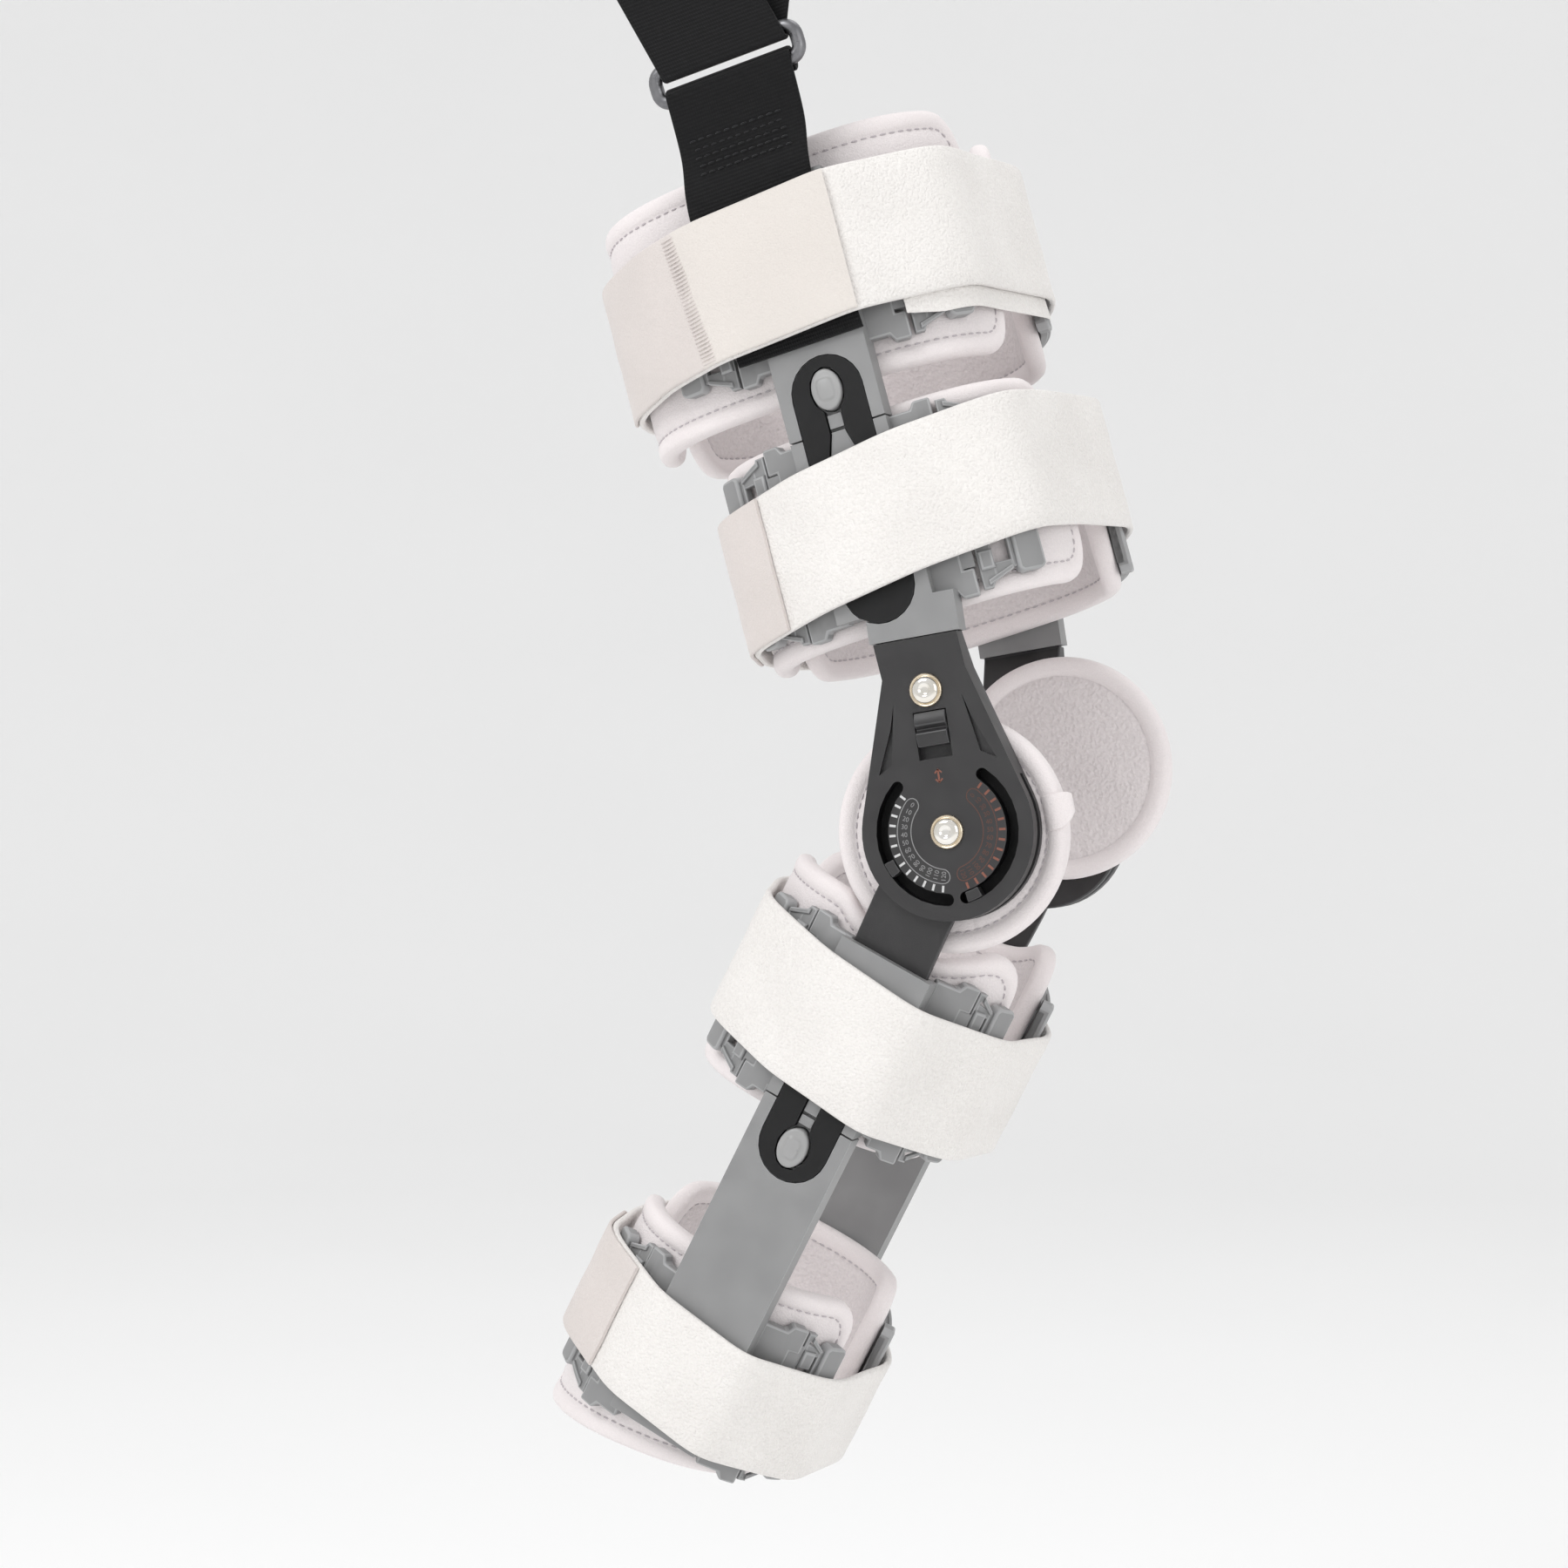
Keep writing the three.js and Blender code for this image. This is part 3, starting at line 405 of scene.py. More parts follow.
@dataclass(frozen=True)
class Woven:
    """Woven webbing: ribs across the band, cut by finer ribs along it. It reads the band's UVs."""

    name: str
    colour: Colour
    glint: Colour
    rib_mm: float = 1.4
    yarn_mm: float = 0.9
    fibre_mm: float = 0.3
    relief_mm: float = 0.25

    def material(self) -> bpy.types.Material:
        """Builds the material.

        Returns:
            The weave, whose UVs are in metres along and across the band.
        """
        sheet = NodeSheet(self.name)
        place = sheet.node("ShaderNodeUVMap").outputs["UV"]
        wave_unit = 0.31416  # a wave texture of scale 1 repeats at this distance
        waves = []
        for direction, size in (("X", self.rib_mm), ("Y", self.yarn_mm)):
            wave = sheet.node("ShaderNodeTexWave", bands_direction=direction, Scale=wave_unit / (size * MM))
            sheet.link(place, wave.inputs["Vector"])
            waves.append(wave.outputs["Fac"])
        fibre = sheet.noise(self.fibre_mm, detail=3.0)
        relief = sheet.math("MULTIPLY", waves[0], sheet.ramp(waves[1], 0.0, 1.0, 0.45, 1.0))
        # Painted glint: the rib tops are mixed towards the lighter glint colour.
        wear_and_glint = sheet.math("MULTIPLY", relief, sheet.ramp(fibre, 0.35, 0.75))
        colour = sheet.mix(wear_and_glint, self.colour, self.glint)
        rough = sheet.ramp(fibre, 0.2, 0.8, 0.55, 0.8)
        height = sheet.math("ADD", relief, sheet.math("MULTIPLY", fibre, 0.3))
        normal = sheet.bump(height, self.relief_mm, 0.6)
        return sheet.finish(colour, rough, normal, Sheen_Weight=0.05, Specular_IOR_Level=0.2)


class Finish(Enum):
    """Every finish of the brace."""

    PAD = Cloth("pad_cloth", (0.83, 0.78, 0.78), (0.73, 0.68, 0.685))
    BINDING = Cloth("pad_binding", (0.88, 0.825, 0.825), (0.79, 0.735, 0.735), 0.5, 0.4)
    LOOP = Cloth("pad_loop_lining", (0.80, 0.75, 0.75), (0.66, 0.61, 0.615), 1.1, 0.5, 0.5, True)
    THREAD = Cloth("stitch_thread", (0.58, 0.54, 0.56), (0.47, 0.43, 0.45), 0.3, 0.3)
    STRAP = Cloth("strap_felt", (0.885, 0.86, 0.835), (0.755, 0.725, 0.70), 1.0, 0.75, 0.4)
    TAB = Cloth("tab_felt", (0.755, 0.71, 0.67), (0.69, 0.645, 0.61), 0.7, 0.45)
    TAB_END = Cloth("tab_end_felt", (0.715, 0.66, 0.635), (0.645, 0.595, 0.57), 0.7, 0.45)
    PLATE = Moulded("grey_moulding", (0.25, 0.251, 0.253), (0.48, 0.48, 0.48))
    SLIDE = Moulded("black_slide", (0.0075, 0.0075, 0.008), (0.03, 0.03, 0.03), 0.5, specular=0.3)
    BUTTON = Moulded("button_moulding", (0.33, 0.33, 0.33), (0.6, 0.6, 0.6), 0.30)
    HINGE = Moulded("charcoal_moulding", (0.026, 0.025, 0.026), (0.08, 0.08, 0.08), 0.42)
    ARM = Moulded("arm_coat", (0.026, 0.025, 0.026), (0.07, 0.07, 0.07), 0.38)
    # The edge finishes are lighter than their mouldings: painted highlights on the rounded edges.
    PLATE_EDGE = Moulded("grey_rubbed_edge", (0.36, 0.363, 0.368), (0.55, 0.55, 0.55), 0.34)
    SLIDE_EDGE = Moulded("black_rubbed_edge", (0.018, 0.018, 0.019), (0.05, 0.05, 0.05), 0.4)
    HINGE_EDGE = Moulded("charcoal_rubbed_edge", (0.052, 0.052, 0.054), (0.13, 0.13, 0.13), 0.36)
    ARM_EDGE = Moulded("arm_rubbed_edge", (0.045, 0.044, 0.045), (0.12, 0.12, 0.12), 0.32)
    # Near black for the dial slots' walls and the sheet behind them: painted shade where only shade falls.
    SLOT_INSIDE = Moulded("black_slot", (0.004, 0.004, 0.0045), (0.012, 0.012, 0.013), 0.6, specular=0.2)
    SCREW = Metal("plated_head", (0.88, 0.86, 0.82), (0.80, 0.76, 0.68), 0.10)
    COLLAR = Metal("warm_collar", (0.80, 0.70, 0.55), (0.71, 0.60, 0.45), 0.22)
    RING = Metal("satin_ring", (0.25, 0.25, 0.26), (0.18, 0.18, 0.19), 0.36)
    WEBBING = Woven("black_webbing", (0.004, 0.004, 0.0045), (0.016, 0.016, 0.017))
    BLACK_THREAD = Cloth("black_thread", (0.022, 0.022, 0.024), (0.01, 0.01, 0.011), 0.3, 0.3)
    WHITE_PRINT = Cloth("white_print", (0.66, 0.66, 0.66), (0.50, 0.50, 0.50), 0.4, 0.05)
    ORANGE_PRINT = Cloth("orange_print", (0.27, 0.11, 0.08), (0.18, 0.08, 0.06), 0.4, 0.05)
    WHITE_FAINT = Cloth("white_print_faint", (0.30, 0.30, 0.30), (0.22, 0.22, 0.22), 0.4, 0.05)
    ORANGE_FAINT = Cloth("orange_print_faint", (0.135, 0.068, 0.055), (0.10, 0.05, 0.04), 0.4, 0.05)

    @property
    def edge(self) -> "Finish":
        """The finish of this moulding's rounded edges, lighter than its faces: a painted highlight."""
        return Finish[f"{self.name}_EDGE"]

    def material(self) -> bpy.types.Material:
        """The finish's material, built on first use."""
        return bpy.data.materials.get(self.value.name) or self.value.material()


# Mesh making


class MeshMaker:
    """Gathers the points and faces of one piece and turns them into an object."""

    def __init__(self) -> None:
        """Starts with nothing."""
        self.points: list[np.ndarray] = []
        self.faces: list[tuple[int, ...]] = []
        self.slots: list[int] = []
        self.uvs: list[tuple[tuple[float, float], ...]] = []
        self.count = 0

    def add(self, points: np.ndarray, faces: Sequence[Sequence[int]], slots: Sequence[int],
            uvs: Sequence[tuple[tuple[float, float], ...]] | None = None) -> None:
        """Adds points and the faces between them.

        Args:
            points: Places in metres, one row each.
            faces: Indices into these points.
            slots: Each face's material slot.
            uvs: One tuple of corner places for each face.
        """
        self.points.append(points)
        self.faces += [tuple(i + self.count for i in face) for face in faces]
        self.slots += slots
        self.uvs += uvs or [((0.0, 0.0),) * len(face) for face in faces]
        self.count += len(points)

    def skin(self, rows: np.ndarray, loop: bool = False, caps: bool = True, slot: int = 0,
             slots: Sequence[int] | None = None, along: np.ndarray | None = None,
             across: np.ndarray | None = None) -> None:
        """Skins a tube through closed rows of points.

        Args:
            rows: Places, as (row, point, xyz).
            loop: Whether the last row joins the first.
            caps: Whether the ends of an open tube are closed.
            slot: The material slot of all faces.
            slots: The material slot of each span between rows, instead of one for all.
            along: Each row's distance along the tube, with one more for a loop's return.
            across: Each point's distance across the tube, with one more for the return.
        """
        count, size = rows.shape[:2]
        spans = count if loop else count - 1
        slots = [slot] * spans if slots is None else slots
        faces, chosen, corners = [], [], []
        for i in range(spans):
            after = (i + 1) % count
            for j in range(size):
                k = (j + 1) % size
                faces.append((i * size + j, after * size + j, after * size + k, i * size + k))
                chosen.append(slots[i])
                if along is not None:
                    corners.append(((along[i], across[j]), (along[i + 1], across[j]),
                                    (along[i + 1], across[j + 1]), (along[i], across[j + 1])))
        if not loop and caps:
            for row in (0, count - 1):
                faces.append(tuple(range(row * size, (row + 1) * size)))
                chosen.append(slots[0])
                if along is not None:
                    corners.append(((0.0, 0.0),) * size)
        self.add(rows.reshape(-1, 3), faces, chosen, corners)

    def build(self, name: str, finishes: Sequence[Finish], sharp: float = 45.0,
              merge_mm: float = 0.0, marks: np.ndarray | None = None) -> bpy.types.Object:
        """Makes the object, with its faces turned outwards.

        Args:
            name: The piece's name.
            finishes: A finish for each material slot.
            sharp: Edges sharper than this many degrees stay sharp.
            merge_mm: Points closer than this become one.
            marks: A whole number for each point, kept as the attribute mark.

        Returns:
            The new object, not yet on a body.
        """
        mesh = bpy.data.meshes.new(name)
        mesh.from_pydata(np.concatenate(self.points).tolist(), [], self.faces)
        mesh.polygons.foreach_set("material_index", self.slots)
        if marks is not None:
            mesh.attributes.new("mark", "INT", "POINT").data.foreach_set("value", marks)
        layer = mesh.uv_layers.new(name="band")
        layer.data.foreach_set("uv", np.array([c for face in self.uvs for c in face], np.float32).ravel())
        work = bmesh.new()
        work.from_mesh(mesh)
        if merge_mm:
            bmesh.ops.remove_doubles(work, verts=work.verts, dist=merge_mm * MM)
        bmesh.ops.recalc_face_normals(work, faces=work.faces)
        work.to_mesh(mesh)
        work.free()
        mesh.shade_smooth()
        mesh.set_sharp_from_angle(angle=math.radians(sharp))
        for finish in finishes:
            mesh.materials.append(finish.material())
        made = bpy.data.objects.new(name, mesh)
        bpy.context.scene.collection.objects.link(made)
        return made


@dataclass(frozen=True)
class Stitch:
    """A stitch in mm: how far it is to the next, its visible length and its thread's width."""

    pitch: float
    length: float
    width: float


PAD_STITCH = Stitch(3.7, 2.5, 0.75)
WEBBING_STITCH = Stitch(3.2, 2.4, 0.7)


def stitch_run(maker: MeshMaker, path: np.ndarray, normals: np.ndarray, stitch: Stitch) -> None:
    """Lays a row of thread stitches along a path.

    Args:
        maker: The mesh to add to.
        path: Places along the seam, in metres.
        normals: The surface's outward direction at each place.
        stitch: The size of a stitch.
    """
    steps = np.linalg.norm(np.diff(path, axis=0), axis=1)
    reach = np.concatenate(([0.0], np.cumsum(steps)))
    count = int(reach[-1] / (stitch.pitch * MM))
    if count < 1:
        return
    starts = (np.arange(count) + 0.5) * reach[-1] / count
    shares = np.array([-0.5, -0.36, 0.0, 0.36, 0.5]) * stitch.length * MM
    swell = np.array([0.25, 0.85, 1.0, 0.85, 0.25]) * stitch.width * MM / 2
    sink = np.array([-0.9, -0.1, 0.15, -0.1, -0.9]) * stitch.width * MM / 2
    around = np.radians([0, 60, 120, 180, 240, 300])
    for start in starts:
        at = np.column_stack([np.interp(start + shares, reach, path[:, k]) for k in range(3)])
        up = np.column_stack([np.interp(start + shares, reach, normals[:, k]) for k in range(3)])
        up /= np.linalg.norm(up, axis=1)[:, None]
        along = at[-1] - at[0]
        across = np.cross(up, along)
        across /= np.linalg.norm(across, axis=1)[:, None]
        centre = at + up * sink[:, None]
        rows = (centre[:, None, :]
                + across[:, None, :] * (np.cos(around)[None, :, None] * swell[:, None, None])
                + up[:, None, :] * (np.sin(around)[None, :, None] * swell[:, None, None]))
        maker.skin(rows)


# The limb and its cuffs


@dataclass(frozen=True)
class Segment:
    """A limb segment: how it leans, which way w runs, and the section at the pads' outer faces."""

    lean: float
    up: int
    half_width: float
    squareness: float
    button_at: float

    def world(self, points: np.ndarray, side: Side = Side.LATERAL) -> np.ndarray:
        """Places points of the limb's frame in the shared frame.

        Args:
            points: Rows of x, y and w in mm.
            side: The side of the leg that y is measured on.

        Returns:
            Rows of x, y and z in metres.
        """
        turn = math.radians(self.lean)
        x, y, z = points[:, 0], points[:, 1] * side.value, points[:, 2] * self.up
        turned = (x * math.cos(turn) + z * math.sin(turn), y, z * math.cos(turn) - x * math.sin(turn))
        return MM * np.column_stack(turned)

    @property
    def plate_face(self) -> float:
        """Where the plates' outer faces are, in y."""
        return -(self.half_width + GAP + PLATE_THICK)


THIGH = Segment(lean=-15.4, up=1, half_width=65.5, squareness=3.0, button_at=167.3)
CALF = Segment(lean=27.4, up=-1, half_width=57.3, squareness=2.3, button_at=131.8)
HINGE_FRAME = Segment(lean=-8.9, up=1, half_width=0.0, squareness=2.0, button_at=0.0)


class Section:
    """The rounded oval across a limb that pads lie inside and plates and wings lie outside."""

    def __init__(self, half_depth: float, centre_x: float, segment: Segment) -> None:
        """Samples the oval and its outward directions.

        Args:
            half_depth: Half the oval's size from front to back.
            centre_x: The oval's middle.
            segment: The limb segment that it belongs to.
        """
        samples = 1440
        power = segment.squareness
        t = np.linspace(-math.pi, math.pi, samples + 1)
        across, out = (np.sign(c) * np.abs(c) ** (2 / power) for c in (np.sin(t), np.cos(t)))
        self.x = centre_x + half_depth * across
        self.y = -segment.half_width * out
        nx = np.sign(across) * np.abs(across) ** (power - 1) / half_depth
        ny = -np.sign(out) * np.abs(out) ** (power - 1) / segment.half_width
        size = np.hypot(nx, ny)
        self.nx, self.ny = nx / size, ny / size
        run = np.concatenate(([0.0], np.cumsum(np.hypot(np.diff(self.x), np.diff(self.y)))))
        upright = run[np.argmax((self.y < 0) & (self.x >= 0))]
        self.s = run - upright
        self.front = self.s[samples * 3 // 4]
        self.back = self.s[samples // 4]

    def at(self, s: np.ndarray, outward: np.ndarray | float) -> tuple[np.ndarray, np.ndarray]:
        """Finds places on or off the oval.

        Args:
            s: Arc lengths from the upright at x = 0, positive to the front.
            outward: Distances out from the oval.

        Returns:
            The places' x and y.
        """
        x, y, nx, ny = (np.interp(s, self.s, v) for v in (self.x, self.y, self.nx, self.ny))
        return x + nx * outward, y + ny * outward


@dataclass(frozen=True)
class Cuff:
    """One cuff: its strap's place and lean, its pads' edges and its section.

    lowered is how far its ears' and wings' upper edges stop short, so that the strap hides them.
    """

    name: str
    body: str
    segment: Segment
    strap_at: float
    strap_height: float
    rise: float
    near: tuple[float, float]
    far: tuple[float, float]
    half_depth: float
    centre_x: float
    tab: tuple[float, float] | None
    reach: dict[Side, tuple[float, float]]
    lowered: float = 0.0

    @property
    def half(self) -> float:
        """Half the strap's height."""
        return self.strap_height / 2

    def section(self) -> Section:
        """The limb's section at this cuff."""
        return Section(self.half_depth, self.centre_x, self.segment)

    def wrap(self, section: Section, flat: np.ndarray, side: Side) -> np.ndarray:
        """Bends flat places round the limb.

        Args:
            section: The limb's section.
            flat: Rows of s, w and d in mm.
            side: The side of the leg.

        Returns:
            Rows of x, y and z in metres.
        """
        x, y = section.at(flat[:, 0], flat[:, 2])
        return self.segment.world(np.column_stack((x, y, flat[:, 1])), side)


THIGH_REACH = {Side.LATERAL: (57.0, 57.0), Side.MEDIAL: (57.0, 88.0)}
CALF_REACH = {Side.LATERAL: (57.0, 53.0), Side.MEDIAL: (57.0, 62.0)}
CUFFS = (
    Cuff("upper_thigh", "thigh_cuff", THIGH, 216.5, 54.0, 3.0, (168.0, 169.0), (259.0, 265.0),
         74.5, -14.0, (-112.0, 20.0), THIGH_REACH, lowered=11.0),
    Cuff("lower_thigh", "thigh", THIGH, 117.0, 52.0, 7.0, (76.0, 79.0), (155.0, 158.0),
         65.5, 1.0, (-100.0, -37.0), THIGH_REACH),
    Cuff("upper_calf", "calf", CALF, 86.5, 51.0, 4.5, (41.0, 36.0), (130.0, 122.0),
         53.5, -11.0, None, CALF_REACH),
    Cuff("lower_calf", "calf_cuff", CALF, 228.0, 44.0, 5.5, (188.0, 182.0), (283.0, 257.0),
         51.5, -7.0, (-92.0, -34.0), CALF_REACH),
)


# Soft pads


@dataclass
class PadShape:
    """A padded shape with a rolled binding, a sewn groove inside it and a soft panel.

    Its flat outline is a rounded rectangle about the origin; place maps (a, b, d) to metres.
    """

    half_long: float
    half_tall: float
    corner: float
    thick: float
    place: Callable[[np.ndarray], np.ndarray]
    binding: float = 7.6
    arc_steps: int = 9
    spacing: float = 4.5
    least_corner: float = 1.5
    pucker: dict[Face, float] = field(default_factory=lambda: {Face.OUTER: 0.2, Face.INNER: 0.16})
    puckered_rings: int = 3
    stitch_lift: float = 0.28

    # Inset from the outline, and the share of half the thickness there.
    profile: tuple[tuple[float, float], ...] = (
        (0.0, 0.0), (0.35, 0.42), (1.1, 0.68), (2.3, 0.82), (3.8, 0.87), (5.4, 0.84), (6.7, 0.75),
        (7.6, 0.58), (8.4, 0.65), (9.6, 0.72), (11.5, 0.77), (14.0, 0.80))
    inner_shares: tuple[float, ...] = (0.84, 0.68, 0.51, 0.34, 0.17, 0.0)

    def outline(self, inset: float) -> np.ndarray:
        """Draws the outline moved inwards.

        Args:
            inset: How far in, in mm.

        Returns:
            Rows of a and b, the same count at any inset.
        """
        long, tall = self.half_long - inset, self.half_tall - inset
        corner = max(self.corner - inset, self.least_corner)
        turns = np.radians(np.linspace(0, 90, self.arc_steps))
        runs = [max(2, round(2 * (half - self.corner) / self.spacing))
                for half in (self.half_long, self.half_tall)]
        points = []
        for quarter, (right, up) in enumerate(CORNERS):
            angle = turns + quarter * math.pi / 2
            arc = np.column_stack((right * (long - corner) + corner * np.cos(angle),
                                   up * (tall - corner) + corner * np.sin(angle)))
            points.append(arc)
            right, up = CORNERS[(quarter + 1) % 4]
            angle = (quarter + 1) * math.pi / 2
            start = (np.array((right * (long - corner), up * (tall - corner)))
                     + corner * np.array((math.cos(angle), math.sin(angle))))
            shares = np.linspace(0, 1, runs[quarter % 2] + 1)[1:-1, None]
            points.append(arc[-1] + (start - arc[-1]) * shares)
        return np.concatenate(points)

    def rings(self) -> list[tuple[float, np.ndarray]]:
        """Lists the rings from the outline to the middle.

        Returns:
            For each ring, its share of half the thickness and its rows of a and b.
        """
        rings = [(share, self.outline(inset)) for inset, share in self.profile]
        last_share, last = rings[-1]
        reach = self.half_long - self.half_tall
        spine = np.column_stack((np.clip(last[:, 0], -reach, reach), np.zeros(len(last))))
        for share in self.inner_shares:
            rings.append((last_share, spine + (last - spine) * share))
        return rings

    def height(self, share: float, face: Face) -> float:
        """How far out a face lies where it has a share of half the thickness, from -thick to 0."""
        return -self.thick / 2 + face.value * share * self.thick / 2

    def ring_places(self, share: float, ring: np.ndarray, face: Face, puckered: bool) -> np.ndarray:
        """Places one ring, which may be drawn in a little between the stitches.

        Args:
            share: The ring's share of half the thickness.
            ring: Its rows of a and b.
            face: The face that it is on.
            puckered: Whether it is drawn in.

        Returns:
            Rows of x, y and z in metres.
        """
        turn_for_each_point = 2.2
        drawn_in = self.pucker[face] if puckered else 0.0
        ripple = drawn_in * np.sin(np.arange(len(ring)) * turn_for_each_point)
        depth = self.height(share, face) + face.value * ripple
        return self.place(np.column_stack((ring, depth)))

    def build(self, name: str) -> bpy.types.Object:
        """Builds the closed pad, with its binding and seam in the vertex group pin.

        Args:
            name: The piece's name.

        Returns:
            The pad's object.
        """
        maker = MeshMaker()
        rings = self.rings()
        bound = next(i for i, (inset, _) in enumerate(self.profile) if inset >= self.binding)
        puckered = range(bound + 1, bound + 1 + self.puckered_rings)
        rows, slots, ring_of_row = [], [], []
        for index, (share, ring) in reversed(list(enumerate(rings[1:], start=1))):
            rows.append(self.ring_places(share, ring, Face.INNER, index in puckered))
            slots.append(1 if index <= bound else 2)
            ring_of_row.append(index)
        for index, (share, ring) in enumerate(rings):
            rows.append(self.ring_places(share, ring, Face.OUTER, index in puckered))
            slots.append(1 if index < bound else 0)
            ring_of_row.append(index)
        maker.skin(np.array(rows), caps=False, slots=slots)
        marks = np.repeat(ring_of_row, len(rings[0][1]))
        made = maker.build(name, (Finish.PAD, Finish.BINDING, Finish.LOOP), 180.0, 0.02, marks)
        self.pin(made, bound + 1)
        return made

    @staticmethod
    def pin(made: bpy.types.Object, last: int) -> None:
        """Pins the binding and its seam, and leaves the panels free.

        Args:
            made: The pad's object, whose points are marked with their rings.
            last: The innermost pinned ring.
        """
        rings = np.empty(len(made.data.vertices), np.int32)
        made.data.attributes["mark"].data.foreach_get("value", rings)
        group = made.vertex_groups.new(name="pin")
        group.add(np.flatnonzero(rings <= last).tolist(), 1.0, "REPLACE")

    def stitches(self, name: str, faces: Sequence[Face]) -> bpy.types.Object:
        """Sews the binding down with a dashed row in the groove.

        Args:
            name: The piece's name.
            faces: The faces that show the thread.

        Returns:
            The stitches' object.
        """
        maker = MeshMaker()
        ring = self.outline(self.binding)
        ring = np.concatenate((ring, ring[:1]))
        share = dict(self.profile)[self.binding]
        for face in faces:
            depth = np.full(len(ring), self.height(share, face) + face.value * self.stitch_lift)
            path = self.place(np.column_stack((ring, depth)))
            lifted = self.place(np.column_stack((ring, depth + face.value)))
            stitch_run(maker, path, lifted - path, PAD_STITCH)
        return maker.build(name, (Finish.THREAD,))


class Inflation:
    """Swells the panels of all pads at once with cloth under pressure."""

    PRESSURE = 4.0
    QUALITY = 4
    STILL = 1e-9

    def __init__(self, pads: Sequence[bpy.types.Object], cap_mm: float, frames: int = 20) -> None:
        """Takes the pads to swell.

        Args:
            pads: Objects with a vertex group named pin.
            cap_mm: How far a point may move.
            frames: How many frames the cloth runs for.
        """
        self.pads = list(pads)
        self.cap = cap_mm * MM
        self.frames = frames

    def run(self) -> None:
        """Runs the cloth and keeps its result in the meshes."""
        scene = bpy.context.scene
        for pad in self.pads:
            cloth = pad.modifiers.new("swell", "CLOTH")
            cloth.settings.use_pressure = True
            cloth.settings.uniform_pressure_force = self.PRESSURE
            cloth.settings.effector_weights.gravity = 0.0
            cloth.settings.vertex_group_mass = "pin"
            cloth.settings.quality = self.QUALITY
            cloth.point_cache.frame_start = 1
            cloth.point_cache.frame_end = self.frames
        for number in range(1, self.frames + 1):
            scene.frame_set(number)
        graph = bpy.context.evaluated_depsgraph_get()
        for pad in self.pads:
            self.keep(pad, pad.evaluated_get(graph).data)
        scene.frame_set(1)

    def keep(self, pad: bpy.types.Object, swollen: bpy.types.Mesh) -> None:
        """Writes a pad's capped movement into its mesh and drops the cloth.

        Args:
            pad: The pad.
            swollen: Its mesh after the last frame.
        """
        rest, moved = (np.empty(len(pad.data.vertices) * 3, np.float32) for _ in range(2))
        pad.data.vertices.foreach_get("co", rest)
        swollen.vertices.foreach_get("co", moved)
        shift = (moved - rest).reshape(-1, 3)
        far = np.linalg.norm(shift, axis=1, keepdims=True)
        eased = self.cap * np.tanh(far / self.cap)
        shift *= np.where(far > self.STILL, eased / np.maximum(far, self.STILL), 0.0)
        pad.modifiers.remove(pad.modifiers["swell"])
        pad.data.vertices.foreach_set("co", rest + shift.ravel())
        pad.data.update()


@dataclass
class CuffPad:
    """The padded half cuff on one side of the leg."""

    cuff: Cuff
    side: Side
    section: Section = field(init=False)

    def __post_init__(self) -> None:
        """Works out the limb's section once."""
        self.section = self.cuff.section()

    @property
    def name(self) -> str:
        """The CAD node that the piece replaces."""
        return f"{self.side.word}_{self.cuff.name}_pad"

    def place(self, flat: np.ndarray) -> np.ndarray:
        """Maps the flat pad round the limb.

        Args:
            flat: Rows of a, b and d in mm, about the flat pad's middle.

        Returns:
            Rows of x, y and z in metres.
        """
        start, end = self.section.back + PAD_BACK_GAP, self.section.front - PAD_FRONT_GAP
        s = (start + end) / 2 + flat[:, 0]
        share = np.clip((s - start) / (end - start), 0, 1)
        near = self.cuff.near[0] + (self.cuff.near[1] - self.cuff.near[0]) * share
        far = self.cuff.far[0] + (self.cuff.far[1] - self.cuff.far[0]) * share
        if self.cuff.segment.up < 0:
            x = self.section.at(s, 0.0)[0]
            near = np.maximum(near, np.sqrt(np.maximum(0.0, KNEE_CLEARANCE**2 - x**2)))
        w = (near + far) / 2 + flat[:, 1] * (far - near) / (2 * self.half_tall)
        return self.cuff.wrap(self.section, np.column_stack((s, w, flat[:, 2])), self.side)

    @property
    def half_tall(self) -> float:
        """Half the pad's mean height."""
        return (sum(self.cuff.far) - sum(self.cuff.near)) / 4

    def shape(self) -> PadShape:
        """The flat pad."""
        half_long = (self.section.front - PAD_FRONT_GAP - self.section.back - PAD_BACK_GAP) / 2
        return PadShape(half_long, self.half_tall, PAD_CORNER, PAD_THICK, self.place)

    def build(self) -> list[bpy.types.Object]:
        """Builds the pad and its stitching.

        Returns:
            The pad, then the stitching.
        """
        shape = self.shape()
        pad = shape.build(f"{self.name}_soft")
        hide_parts(self.name)
        return [pad, shape.stitches(f"{self.name}_stitching", (Face.OUTER, Face.INNER))]


